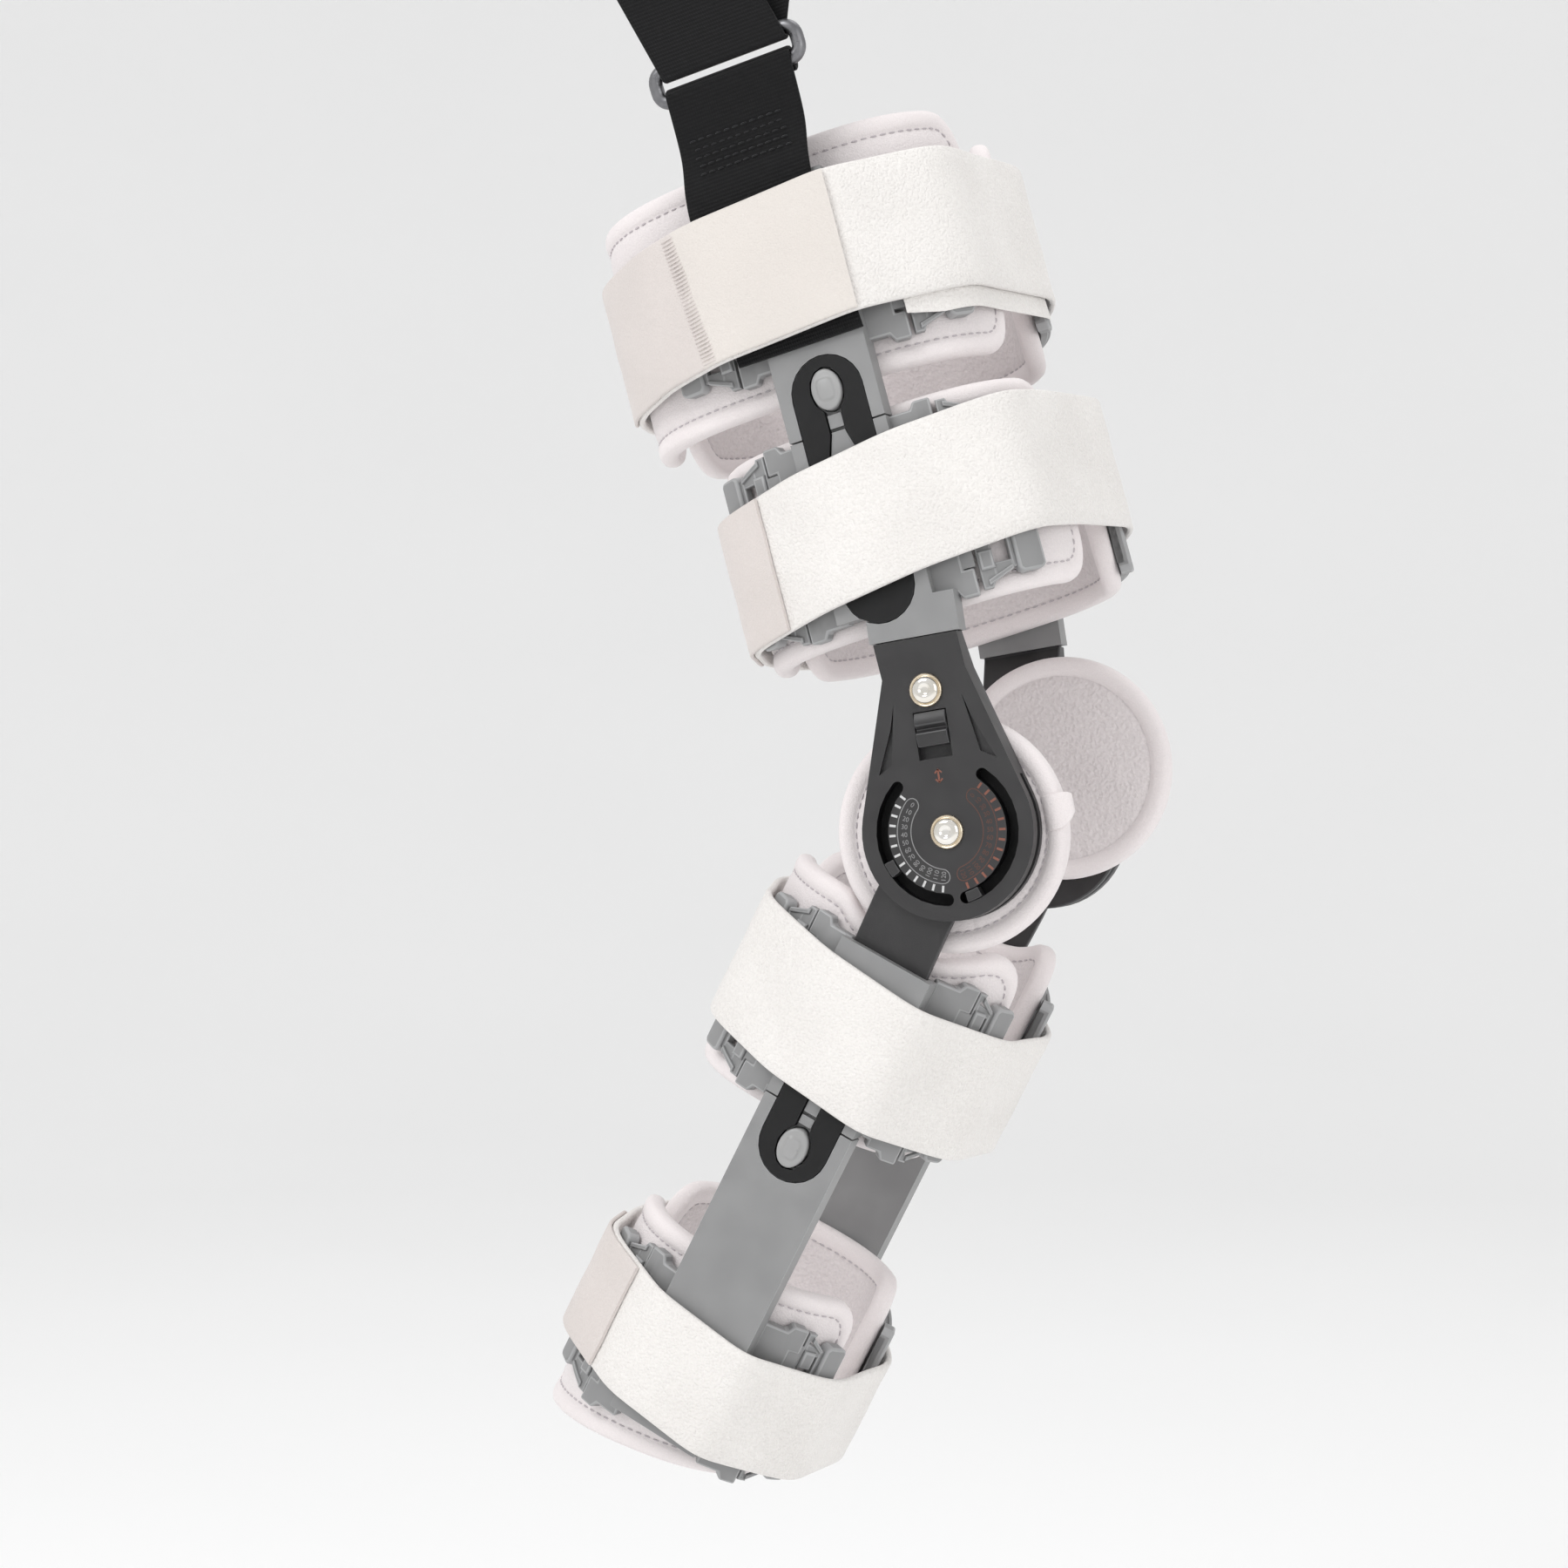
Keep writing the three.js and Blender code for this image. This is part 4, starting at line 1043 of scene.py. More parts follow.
@dataclass
class KneePad:
    """The round pad between a hinge and the knee."""

    side: Side
    centre: tuple[float, float]
    radius: float = 44.0
    thick: float = 11.3
    straight: float = 0.5
    arc_steps: int = 22

    # The lapped end of the binding: its angle, and along it the radius, depth, half width and slant.
    lap_at: float = -4.0
    lap: tuple[tuple[float, float, float, float], ...] = (
        (35.6, -3.2, 6.5, 0.0), (36.6, -1.6, 6.5, 0.0), (38.2, -0.55, 6.5, 0.0), (40.2, -0.15, 6.5, 0.1),
        (42.2, -0.7, 6.4, 0.3), (43.9, -1.9, 6.0, 0.7), (45.6, -2.9, 5.0, 1.4), (47.2, -3.5, 3.4, 2.2))
    lap_thick: float = 1.0
    lap_sink: float = 0.6

    @property
    def name(self) -> str:
        """The CAD node that the piece replaces."""
        return f"{self.side.word}_knee_pad"

    def place(self, flat: np.ndarray) -> np.ndarray:
        """Maps the flat pad to its place behind the hinge."""
        y = -(HINGE_BACK - GAP) - flat[:, 2]
        points = np.column_stack((self.centre[0] + flat[:, 0], y, self.centre[1] + flat[:, 1]))
        return THIGH.world(points, self.side)

    def build(self) -> list[bpy.types.Object]:
        """Builds the pad and its stitching.

        Returns:
            The pad, then the stitching.
        """
        shape = PadShape(self.radius, self.radius, self.radius - self.straight, self.thick, self.place,
                         arc_steps=self.arc_steps)
        pad = shape.build(f"{self.name}_soft")
        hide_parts(self.name)
        pieces = [pad, shape.stitches(f"{self.name}_stitching", (Face.OUTER,))]
        return pieces + ([self.binding_end()] if self.side is Side.LATERAL else [])

    def binding_end(self) -> bpy.types.Object:
        """Laps the end of the binding over its start, with a corner that stands off the rim.

        Returns:
            The lapped end's object.
        """
        turn = math.radians(self.lap_at)
        radial = np.array((math.cos(turn), math.sin(turn)))
        along = np.array((-math.sin(turn), math.cos(turn)))
        rows = []
        for radius, depth, half, slant in self.lap:
            across = band_profile(half, self.lap_thick, self.lap_thick / 2, 4)
            flat = radius * radial + (across[:, :1] + slant) * along
            rows.append(self.place(np.column_stack((flat, depth + across[:, 1] - self.lap_sink))))
        maker = MeshMaker()
        maker.skin(np.array(rows))
        return maker.build(f"{self.name}_binding_end", (Finish.BINDING,), 70.0)


# Straps


class TightLoop:
    """The path of a strap pulled tight round a cuff, by arc length from the outer side's x = 0.

    The eases keep it clear of the plates' edges and faces and of the wings' lugs, and OVER_WEBBING is
    the span where the webbing lifts it.
    """

    EDGE_EASE = 0.5
    FACE_EASE = 0.6
    LUG_EASE = 0.4
    OVER_WEBBING = (-34.0, 20.0)
    LUG_STEP = 2.0
    PAD_STEP = 3.0
    FINE_POINTS = 4000

    def __init__(self, cuff: Cuff) -> None:
        """Wraps the cuff's plates, wings and pads.

        Args:
            cuff: The cuff that the strap closes.
        """
        section = cuff.section()
        outline = []
        for side in Side:
            over_webbing = cuff.name == "upper_thigh" and side is Side.LATERAL
            face = cuff.segment.plate_face - (WEBBING_THICK + GAP if over_webbing else 0.0)
            edge = PLATE_HALF + self.EDGE_EASE
            edges = self.OVER_WEBBING if over_webbing else (-edge, edge)
            own = [(x, face - self.FACE_EASE) for x in edges]
            back, front = cuff.reach[side]
            for end in (-back, front):
                lug = end - math.copysign(1, end) * np.arange(0, LUG_LENGTH + 1, self.LUG_STEP)
                own += list(zip(*section.at(lug, GAP + WING_THICK + LUG_THICK + self.LUG_EASE)))
            around = np.arange(section.back + PAD_BACK_GAP, section.front - PAD_FRONT_GAP, self.PAD_STEP)
            on_wing = (around > -back) & (around < front)
            lift = np.where(on_wing, GAP + WING_THICK + CLIP_RISE, 0.0)
            own += list(zip(*section.at(around, lift)))
            outline += [(x, side.value * y) for x, y in own]
        self.points, self.length = self.smoothed(self.hull(outline))

    @staticmethod
    def hull(points: Sequence[tuple[float, float]]) -> np.ndarray:
        """Finds the convex outline of points.

        Args:
            points: Places in x and y.

        Returns:
            The corners in order.
        """
        def chain(ordered: Sequence[tuple[float, float]]) -> list[tuple[float, float]]:
            """Keeps the places on one side of the outline."""
            kept: list[tuple[float, float]] = []
            for p in ordered:
                while len(kept) > 1:
                    o, a = kept[-2], kept[-1]
                    if (a[0] - o[0]) * (p[1] - o[1]) - (a[1] - o[1]) * (p[0] - o[0]) > 0:
                        break
                    kept.pop()
                kept.append(p)
            return kept[:-1]

        ordered = sorted(points)
        return np.array(chain(ordered) + chain(ordered[::-1]))

    @classmethod
    def smoothed(cls, corners: np.ndarray, step: float = 2.0, soften: int = 4) -> tuple[np.ndarray, float]:
        """Rounds the corners of the outline a little.

        Args:
            corners: The outline's corners in order.
            step: The spacing of the path's points.
            soften: How many points on each side share a corner's turn.

        Returns:
            The path's points from the outer side's x = 0, and its length.
        """
        closed = np.vstack((corners, corners[:1]))
        run = np.concatenate(([0.0], np.cumsum(np.linalg.norm(np.diff(closed, axis=0), axis=1))))
        fine = np.linspace(0, run[-1], cls.FINE_POINTS, endpoint=False)
        path = np.column_stack([np.interp(fine, run, closed[:, k]) for k in range(2)])
        outer = np.where(path[:, 1] < 0, np.abs(path[:, 0]), np.inf)
        path = np.roll(path, -int(np.argmin(outer)), axis=0)
        count = int(run[-1] / step)
        path = path[(np.arange(count) * cls.FINE_POINTS / count).astype(int)]
        weights = np.bartlett(2 * soften + 3)[1:-1]
        weights /= weights.sum()
        wide = np.vstack((path[-soften:], path, path[:soften]))
        soft = np.column_stack([np.convolve(wide[:, k], weights, "valid") for k in range(2)])
        return soft, float(run[-1])

    def at(self, s: np.ndarray, outward: np.ndarray | float) -> tuple[np.ndarray, np.ndarray]:
        """Finds places off the path.

        Args:
            s: Arc lengths.
            outward: Distances out from the path.

        Returns:
            The places' x and y.
        """
        count = len(self.points)
        ring = np.arange(-1, count + 2)
        tangents = np.roll(self.points, -2, axis=0) - np.roll(self.points, 2, axis=0)
        tangents /= np.linalg.norm(tangents, axis=1)[:, None]
        at = np.mod(np.asarray(s) / self.length, 1.0) * count
        x, y, tx, ty = (np.interp(at, ring, v[ring % count])
                        for v in (*self.points.T, *tangents.T))
        return x + ty * outward, y - tx * outward


def band_profile(half: float, thick: float, edge: float, across: int = 10) -> np.ndarray:
    """Draws a flat band's cross-section with rounded edges.

    Args:
        half: Half the band's width.
        thick: The band's thickness.
        edge: How far in its edges are rounded.
        across: How many parts each broad face is divided into.

    Returns:
        Rows of distance across and distance out, once round.
    """
    turns = np.radians(np.linspace(-90, 90, 6))
    flat = np.linspace(-(half - edge), half - edge, across + 1)
    inner = np.column_stack((flat, np.zeros(len(flat))))
    right = np.column_stack((half - edge + edge * np.cos(turns), thick / 2 * (1 + np.sin(turns))))
    outer = np.column_stack((flat[::-1], np.full(len(flat), thick)))
    left = np.column_stack((-(half - edge) - edge * np.cos(turns), thick / 2 * (1 - np.sin(turns))))
    return np.concatenate((inner[:-1], right[:-1], outer[:-1], left[:-1]))


@dataclass
class Strap:
    """The felt strap round a cuff, and the tab that closes it.

    Its faces are not quite even: each wave has a height, and radians for each mm across and along it.
    """

    cuff: Cuff
    loop: TightLoop = field(init=False)
    step: float = 3.0
    sharp: float = 60.0
    round_share: float = 0.035
    lift: float = 0.15
    waves: tuple[tuple[float, float, float], ...] = ((0.10, 0.23, 0.11), (0.07, 0.41, -0.19))

    # The returning layer: its span, faces, step down, and how far its width falls short at its two ends.
    return_span: tuple[float, float] = (38.0, 135.0)
    return_inner: float = 0.3
    return_thick: float = 0.55
    return_shift: float = -8.5
    return_short: tuple[float, float] = (3.5, 1.0)
    return_taper: float = 14.0

    # The tab: its rounded end, how far its width falls short, and the place and ribs of its seam.
    tab_step: float = 2.0
    tab_corner: float = 9.0
    tab_flat: float = 0.8
    tab_short: float = 0.5
    tab_thin: float = 0.3
    seam_at: float = -40.0
    seam_lean: float = -0.1
    seam_margins: tuple[float, float] = (2.0, 1.5)
    rib_pitch: float = 1.5
    rib: Stitch = Stitch(7.5, 7.5, 0.9)

    def __post_init__(self) -> None:
        """Works out the strap's path once."""
        self.loop = TightLoop(self.cuff)

    def band(self, s: np.ndarray, inner: float, thick: float, half: np.ndarray,
             shift: float = 0.0) -> np.ndarray:
        """Places a band's sections along the strap's path.

        Args:
            s: Arc lengths of the sections.
            inner: The band's inner face, out from the path.
            thick: The band's thickness.
            half: Half the band's width at each section.
            shift: How far its middle is from the strap's, away from the knee.

        Returns:
            Rows of points, as (section, point, xyz), in metres.
        """
        profile = band_profile(1.0, 1.0, self.round_share)
        slope = math.tan(math.radians(self.cuff.rise))
        rows = []
        middle_x = self.loop.at(s, inner)[0]
        for i, place in enumerate(s):
            across = profile[:, 0] * half[i]
            wave = sum(high * np.sin(across * over + place * along) for high, over, along in self.waves)
            outward = inner + thick * profile[:, 1] + self.lift + wave
            x, y = self.loop.at(np.full(len(profile), place), outward)
            w = self.cuff.strap_at + shift + slope * middle_x[i] + across
            rows.append(self.cuff.segment.world(np.column_stack((x, y, w))))
        return np.array(rows)

    def build(self) -> bpy.types.Object:
        """Builds the strap.

        Returns:
            The strap's object.
        """
        count = int(self.loop.length / self.step)
        s = (np.arange(count) / count - 0.5) * self.loop.length
        maker = MeshMaker()
        maker.skin(self.band(s, STRAP_EASE, STRAP_THICK, np.full(count, self.cuff.half)), loop=True)
        strap = maker.build(f"{self.cuff.name}_strap_felt", (Finish.STRAP,), self.sharp)
        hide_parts(f"{self.cuff.name}_strap")
        plates = [f"{side.word}_{self.cuff.name}_plate" for side in Side]
        return strap

    def return_layer(self) -> bpy.types.Object:
        """Builds the strap's returning end, which shows below it at the front of the upper thigh.

        Returns:
            The layer's object.
        """
        s = np.arange(*self.return_span, self.step)
        half = self.cuff.half - np.interp(s - s[0], (0.0, self.return_taper), self.return_short)
        maker = MeshMaker()
        maker.skin(self.band(s, self.return_inner, self.return_thick, half, self.return_shift))
        layer = maker.build(f"{self.cuff.name}_strap_return", (Finish.STRAP,), self.sharp)
        f"lateral_{self.cuff.name}_plate"
        return layer

    def tab(self) -> list[bpy.types.Object]:
        """Builds the closing tab, with a ribbed seam on the widest one.

        Returns:
            The tab, and its seam where it has one.
        """
        start, end = self.cuff.tab
        s = np.arange(start, end + self.tab_step / 2, self.tab_step)
        corner = self.tab_corner
        inset = np.clip(corner - (s - start), 0, corner)
        half = self.cuff.half - self.tab_short - (corner - np.sqrt(corner**2 - inset**2)) * self.tab_flat
        inner = STRAP_EASE + STRAP_THICK + GAP
        maker = MeshMaker()
        wide = self.cuff.name == "upper_thigh"
        slots = [1 if not wide or place < self.seam_at else 0 for place in s]
        maker.skin(self.band(s, inner, TAB_THICK - self.tab_thin, half), slots=slots)
        name = f"{self.cuff.name}_strap_tab"
        tab = maker.build(f"{name}_felt", (Finish.TAB, Finish.TAB_END), self.sharp)
        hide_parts(name)
        seams = [self.ribs(inner + TAB_THICK)] if wide else []
        f"{self.cuff.name}_strap_felt"
        return [tab, *seams]

    def ribs(self, outward: float) -> bpy.types.Object:
        """Sews the ribbed seam: short bars along the tab, stacked across its width.

        Args:
            outward: How far out the tab's face is.

        Returns:
            The seam's object.
        """
        slope = math.tan(math.radians(self.cuff.rise))
        reach = np.linspace(-self.rib.length / 2, self.rib.length / 2, 7)
        low, high = self.seam_margins
        maker = MeshMaker()
        for across in np.arange(-self.cuff.half + low, self.cuff.half - high, self.rib_pitch):
            s = self.seam_at + self.seam_lean * across + reach
            x, y = self.loop.at(s, outward)
            far_x, far_y = self.loop.at(s, outward + 1)
            w = self.cuff.strap_at + slope * x + across
            path = self.cuff.segment.world(np.column_stack((x, y, w)))
            up = self.cuff.segment.world(np.column_stack((far_x, far_y, w))) - path
            stitch_run(maker, path, up, self.rib)
        return maker.build(f"{self.cuff.name}_strap_tab_seam", (Finish.TAB_END,))


# Wings and ears


class FlatParts:
    """Flat outlines given thickness and bent round a limb's section, as one mesh.

    They are cut across so that they bend, at places that stay off the outlines' corners.
    """

    CUT_STEP = 2.5
    CUT_FROM = 1.37
    EDGE_SEGMENTS = 3
    SHARP = 35.0

    def __init__(self, cuff: Cuff, side: Side) -> None:
        """Starts with nothing.

        Args:
            cuff: The cuff that the parts lie on.
            side: The side of the leg.
        """
        self.cuff, self.side, self.section = cuff, side, cuff.section()
        self.work = bmesh.new()

    def add(self, outline: Sequence[tuple[float, float]], low: float, high: float,
            round_mm: float) -> None:
        """Adds one part with rounded outer edges.

        Args:
            outline: Corners as s and w, w from the strap's middle.
            low: The inner face, out from the section.
            high: The outer face.
            round_mm: The rounding of its outer edges.
        """
        part = bmesh.new()
        base = part.faces.new([part.verts.new((s, w, low)) for s, w in outline])
        raised = bmesh.ops.extrude_face_region(part, geom=[base])
        top = [v for v in raised["geom"] if isinstance(v, bmesh.types.BMVert)]
        bmesh.ops.translate(part, verts=top, vec=(0, 0, high - low))
        edges = [e for e in part.edges if sum(v.co.z for v in e.verts) > low + high]
        # The rounded edges take material slot 1, the lighter edge finish: a painted highlight.
        bmesh.ops.bevel(part, geom=edges, offset=round_mm, segments=self.EDGE_SEGMENTS, profile=0.5,
                        affect="EDGES", clamp_overlap=True, material=1)
        places = [s for s, _ in outline]
        for cut in np.arange(math.floor(min(places)) + self.CUT_FROM, max(places), self.CUT_STEP):
            everything = [*part.verts, *part.edges, *part.faces]
            bmesh.ops.bisect_plane(part, geom=everything, plane_co=(cut, 0, 0), plane_no=(1, 0, 0))
        bmesh.ops.recalc_face_normals(part, faces=part.faces)
        held = bpy.data.meshes.new("part")
        part.to_mesh(held)
        self.work.from_mesh(held)
        bpy.data.meshes.remove(held)
        part.free()

    def build(self, name: str, finish: Finish) -> bpy.types.Object:
        """Bends the parts into place and makes the object.

        Args:
            name: The piece's name.
            finish: Its finish.

        Returns:
            The object, not yet on a body.
        """
        flat = np.array([v.co for v in self.work.verts])
        flat[:, 1] += self.cuff.strap_at
        for vert, place in zip(self.work.verts, self.cuff.wrap(self.section, flat, self.side)):
            vert.co = place
        bmesh.ops.recalc_face_normals(self.work, faces=self.work.faces)
        mesh = bpy.data.meshes.new(name)
        self.work.to_mesh(mesh)
        self.work.free()
        mesh.shade_smooth()
        mesh.set_sharp_from_angle(angle=math.radians(self.SHARP))
        # The second finish is the lighter edge finish: a painted highlight on the rounded edges.
        for used in (finish, finish.edge):
            mesh.materials.append(used.material())
        made = bpy.data.objects.new(name, mesh)
        bpy.context.scene.collection.objects.link(made)
        return made


@dataclass
class Wing:
    """A wing that spreads the strap's pull: a tapered leaf, a slotted end and a raised lug.

    The slot is measured back from the wing's end. The sizes of root, slot, neck, lug and clip that are
    named over are heights past half the strap's height.
    """

    cuff: Cuff
    side: Side
    front: bool
    root: float = 34.0
    root_long: float = 3.5
    root_over: float = 10.0
    slot: tuple[float, float] = (17.5, 11.5)
    slot_over: float = 1.2
    neck_over: float = 4.4
    neck_flare: float = 1.5
    end_taper: float = 1.0
    lug_over: float = 7.0
    lug_corner: float = 1.5
    lug_edge: float = 1.3
    clip: tuple[float, float] = (0.6, 5.6)
    clip_over: tuple[float, float] = (-4.0, 3.2)
    clip_edge: float = 1.0
    edge: float = 0.6
    sunk: float = 0.4

    # The bars beside the slot: how far they lap over the leaf and the end, and rise past the leaf's edge.
    bar_lap: float = 0.4
    bar_rise: float = 0.2

    # The ribs: where they start, and the heights of their ends from the root's and the neck's edges.
    rib_from: float = 2.2
    rib_root: tuple[float, float] = (-1.0, -3.0)
    rib_tip: tuple[float, float] = (-1.2, 0.6)
    rib_rise: float = 1.1
    rib_edge: float = 0.5

    @property
    def name(self) -> str:
        """The CAD node that the piece replaces."""
        return f"{self.side.word}_{self.cuff.name}_{'front' if self.front else 'back'}_wing"

    def build(self) -> list[bpy.types.Object]:
        """Builds the wing.

        Returns:
            The wing's object in a list.
        """
        way = 1 if self.front else -1
        end = self.cuff.reach[self.side][1 if self.front else 0]
        half = self.cuff.half
        inner, face = GAP, GAP + WING_THICK
        parts = FlatParts(self.cuff, self.side)

        def add(outline: Sequence[tuple[float, float]], low: float, high: float, edge: float) -> None:
            """Adds a part, drawn towards the front, on the wing's own side."""
            parts.add([(way * s, w - self.cuff.lowered * (w > 0)) for s, w in outline], low, high, edge)

        slot_from, slot_to = (end - back for back in self.slot)
        slot_half, tall, neck = (half + over for over in (self.slot_over, self.root_over, self.neck_over))
        leaf = neck + self.neck_flare
        root_to = self.root + self.root_long
        add([(self.root, -tall), (root_to, -tall), (slot_from, -leaf), (slot_from, leaf),
             (root_to, tall), (self.root, tall)], inner, face, self.edge)
        bar_from, bar_to = slot_from - self.bar_lap, slot_to + self.bar_lap
        rib_from = self.root + self.rib_from
        clip_from, clip_to = (self.root + reach for reach in self.clip)
        clip_low, clip_high = (half + over for over in self.clip_over)
        sunk = face - self.sunk
        for up in (-1, 1):
            add([(bar_from, up * slot_half), (bar_to, up * slot_half), (bar_to, up * neck),
                 (bar_from, up * (leaf + self.bar_rise))], inner, face, self.edge)
            rib = [(rib_from, up * (tall + past)) for past in self.rib_root]
            rib += [(slot_to, up * (neck + past)) for past in self.rib_tip]
            add(rib, sunk, face + self.rib_rise, self.rib_edge)
            add([(clip_from, up * clip_low), (clip_to, up * clip_low), (clip_to, up * clip_high),
                 (clip_from, up * clip_high)], sunk, face + CLIP_RISE, self.clip_edge)
        tip = neck - self.end_taper
        add([(slot_to, -neck), (end, -tip), (end, tip), (slot_to, neck)], inner, face, self.edge)
        lug, corner, lug_from = half + self.lug_over, self.lug_corner, end - LUG_LENGTH
        add([(lug_from, -lug + corner), (lug_from + corner, -lug), (end - corner, -lug),
             (end, -lug + corner), (end, lug - corner), (end - corner, lug), (lug_from + corner, lug),
             (lug_from, lug - corner)], inner, face + LUG_THICK, self.lug_edge)
        wing = parts.build(f"{self.name}_shell", Finish.PLATE)
        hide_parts(self.name)
        return [wing]


@dataclass
class Ears:
    """The four T-shaped ears on a plate's corners, which the wings hook on to.

    Heights are past half the strap's height. On the upper calf, a notch in the far ears leaves room for
    the telescope's sleeve.
    """

    cuff: Cuff
    side: Side
    root: float = 16.5
    arm: tuple[float, float] = (-6.0, 8.6)
    arm_to: float = 28.6
    head: tuple[float, float] = (1.4, 11.4)
    head_slant: tuple[float, float] = (25.0, 26.5)
    head_to: float = 32.4
    notch: tuple[float, float] = (19.8, 5.5)
    faces: tuple[float, float] = (0.6, 5.4)
    edge: float = 0.8

    def build(self) -> list[bpy.types.Object]:
        """Builds the ears of one plate.

        Returns:
            The ears' object in a list.
        """
        half = self.cuff.half
        (arm_low, arm_high), (head_low, head_high) = self.arm, self.head
        notch_to, notch_high = self.notch
        parts = FlatParts(self.cuff, self.side)
        for way in (-1, 1):
            for up in (-1, 1):
                corner = [(self.root, arm_high)]
                if up > 0 and self.cuff.name == "upper_calf":
                    corner = [(self.root, notch_high), (notch_to, notch_high), (notch_to, arm_high)]
                outline = [(self.root, arm_low), *corner, (self.head_slant[0], arm_high),
                           (self.head_slant[1], head_high), (self.head_to, head_high),
                           (self.head_to, head_low), (self.arm_to, head_low), (self.arm_to, arm_low)]
                drop = self.cuff.lowered if up > 0 else 0.0
                placed = [(way * s, up * (half + w) - drop) for s, w in outline]
                parts.add(placed, *self.faces, self.edge)
        return [parts.build(f"{self.side.word}_{self.cuff.name}_plate_ears", Finish.PLATE)]


# Hard pieces that keep their CAD shape


@dataclass(frozen=True)
class Moulding:
    """A hard CAD node that keeps its shape and gets rounded edges and a finish."""

    node: str
    finish: Finish
    edge_mm: float
    weld_mm: float = 0.02
    flat_degrees: float = 0.6
    edge_degrees: float = 28.0
    segments: int = 3

    def dress(self) -> bpy.types.Object:
        """Rounds the node's edges with modifiers and gives it its finish.

        Returns:
            The node's object.
        """
        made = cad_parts[self.node]
        made.data.materials.clear()
        # The second finish goes on the rounded edges: lighter than the faces, a painted highlight.
        for finish in (self.finish, self.finish.edge):
            made.data.materials.append(finish.material())
        normals = made.data.attributes.get("custom_normal")
        if normals is not None:
            made.data.attributes.remove(normals)
        made.data.shade_smooth()
        weld = made.modifiers.new("weld", "WELD")
        weld.merge_threshold = self.weld_mm * MM
        flats = made.modifiers.new("flats", "DECIMATE")
        flats.decimate_type = "DISSOLVE"
        flats.angle_limit = math.radians(self.flat_degrees)
        edges = made.modifiers.new("rounded_edges", "BEVEL")
        edges.width = self.edge_mm * MM
        edges.segments = self.segments
        edges.material = 1
        edges.limit_method = "ANGLE"
        edges.angle_limit = math.radians(self.edge_degrees)
        edges.miter_outer = "MITER_ARC"
        made.modifiers.new("even_shading", "WEIGHTED_NORMAL").weight = 100
        return made


def mouldings() -> list[Moulding]:
    """Lists the CAD nodes that stay.

    Returns:
        Each node with its finish and the rounding of its edges.
    """
    listed = []
    for side in Side:
        listed += [Moulding(f"{side.word}_{cuff.name}_plate", Finish.PLATE, 0.9) for cuff in CUFFS]
        listed += [Moulding(f"{side.word}_{limb}_slide", Finish.SLIDE, 0.5) for limb in ("thigh", "calf")]
        listed.append(Moulding(f"{side.word}_hinge_housing", Finish.HINGE, 0.8))
        listed.append(Moulding(f"{side.word}_hinge_arm", Finish.ARM, 0.5))
    listed.append(Moulding("lateral_lock_slider", Finish.HINGE, 0.4))
    listed += [Moulding(f"lateral_{key}_key", Finish.HINGE, 0.3) for key in ("extension", "flexion")]
    return listed


# Small hard pieces


def lathe(maker: MeshMaker, profile: Sequence[tuple[float, float]], centre: tuple[float, float],
          place: Callable[[np.ndarray], np.ndarray], slots: Sequence[int],
          stretch: tuple[float, float] = (1.0, 1.0), steps: int = 40,
          powers: Sequence[float] | None = None) -> None:
    """Turns a profile about an axis across the leg.

    Args:
        maker: The mesh to add to.
        profile: Rows of radius and y, from the rim to the middle.
        centre: The axis's x and height.
        place: Maps rows of x, y and height in mm to metres.
        slots: The material slot of each span.
        stretch: Radius factors along x and up.
        steps: Points round the axis.
        powers: Each row's exponent: 1 for an oval and less for a squarer outline.
    """
    turns = np.linspace(0, 2 * math.pi, steps, endpoint=False)
    rows = []
    for (radius, y), power in zip(profile, powers or [1.0] * len(profile)):
        across, up = (np.sign(c) * np.abs(c) ** power for c in (np.cos(turns), np.sin(turns)))
        around = np.column_stack((centre[0] + stretch[0] * radius * across, np.full(steps, y),
                                  centre[1] + stretch[1] * radius * up))
        rows.append(place(around))
    maker.skin(np.array(rows), caps=False, slots=slots)


@dataclass
class Screw:
    """A domed, plated head on a warm metal collar."""

    node: str
    side: Side
    height: float = 0.0

    # Radius and distance out from the hinge's face, from the shaft to the middle of the head.
    profile: tuple[tuple[float, float], ...] = (
        (3.0, -6.0), (3.0, -0.1), (6.1, -0.1), (6.3, 0.35), (6.1, 0.9), (5.75, 1.15), (5.3, 1.0), (5.1, 0.8),
        (4.95, 1.3), (4.5, 1.95), (3.6, 2.4), (2.5, 2.55), (2.15, 2.5), (1.7, 1.8), (1.2, 1.7), (0.0, 1.65))
    collar_spans: int = 7

    def build(self) -> list[bpy.types.Object]:
        """Builds the head and its shaft's visible top.

        Returns:
            The screw's object in a list.
        """
        profile = [(radius, -HINGE_FACE - out) for radius, out in self.profile]
        maker = MeshMaker()
        slots = [1 if i < self.collar_spans else 0 for i in range(len(profile))]
        lathe(maker, profile, (0.0, self.height), lambda p: HINGE_FRAME.world(p, self.side), slots)
        screw = maker.build(f"{self.node}_head", (Finish.SCREW, Finish.COLLAR), 50.0, merge_mm=0.005)
        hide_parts(self.node)
        return [screw]


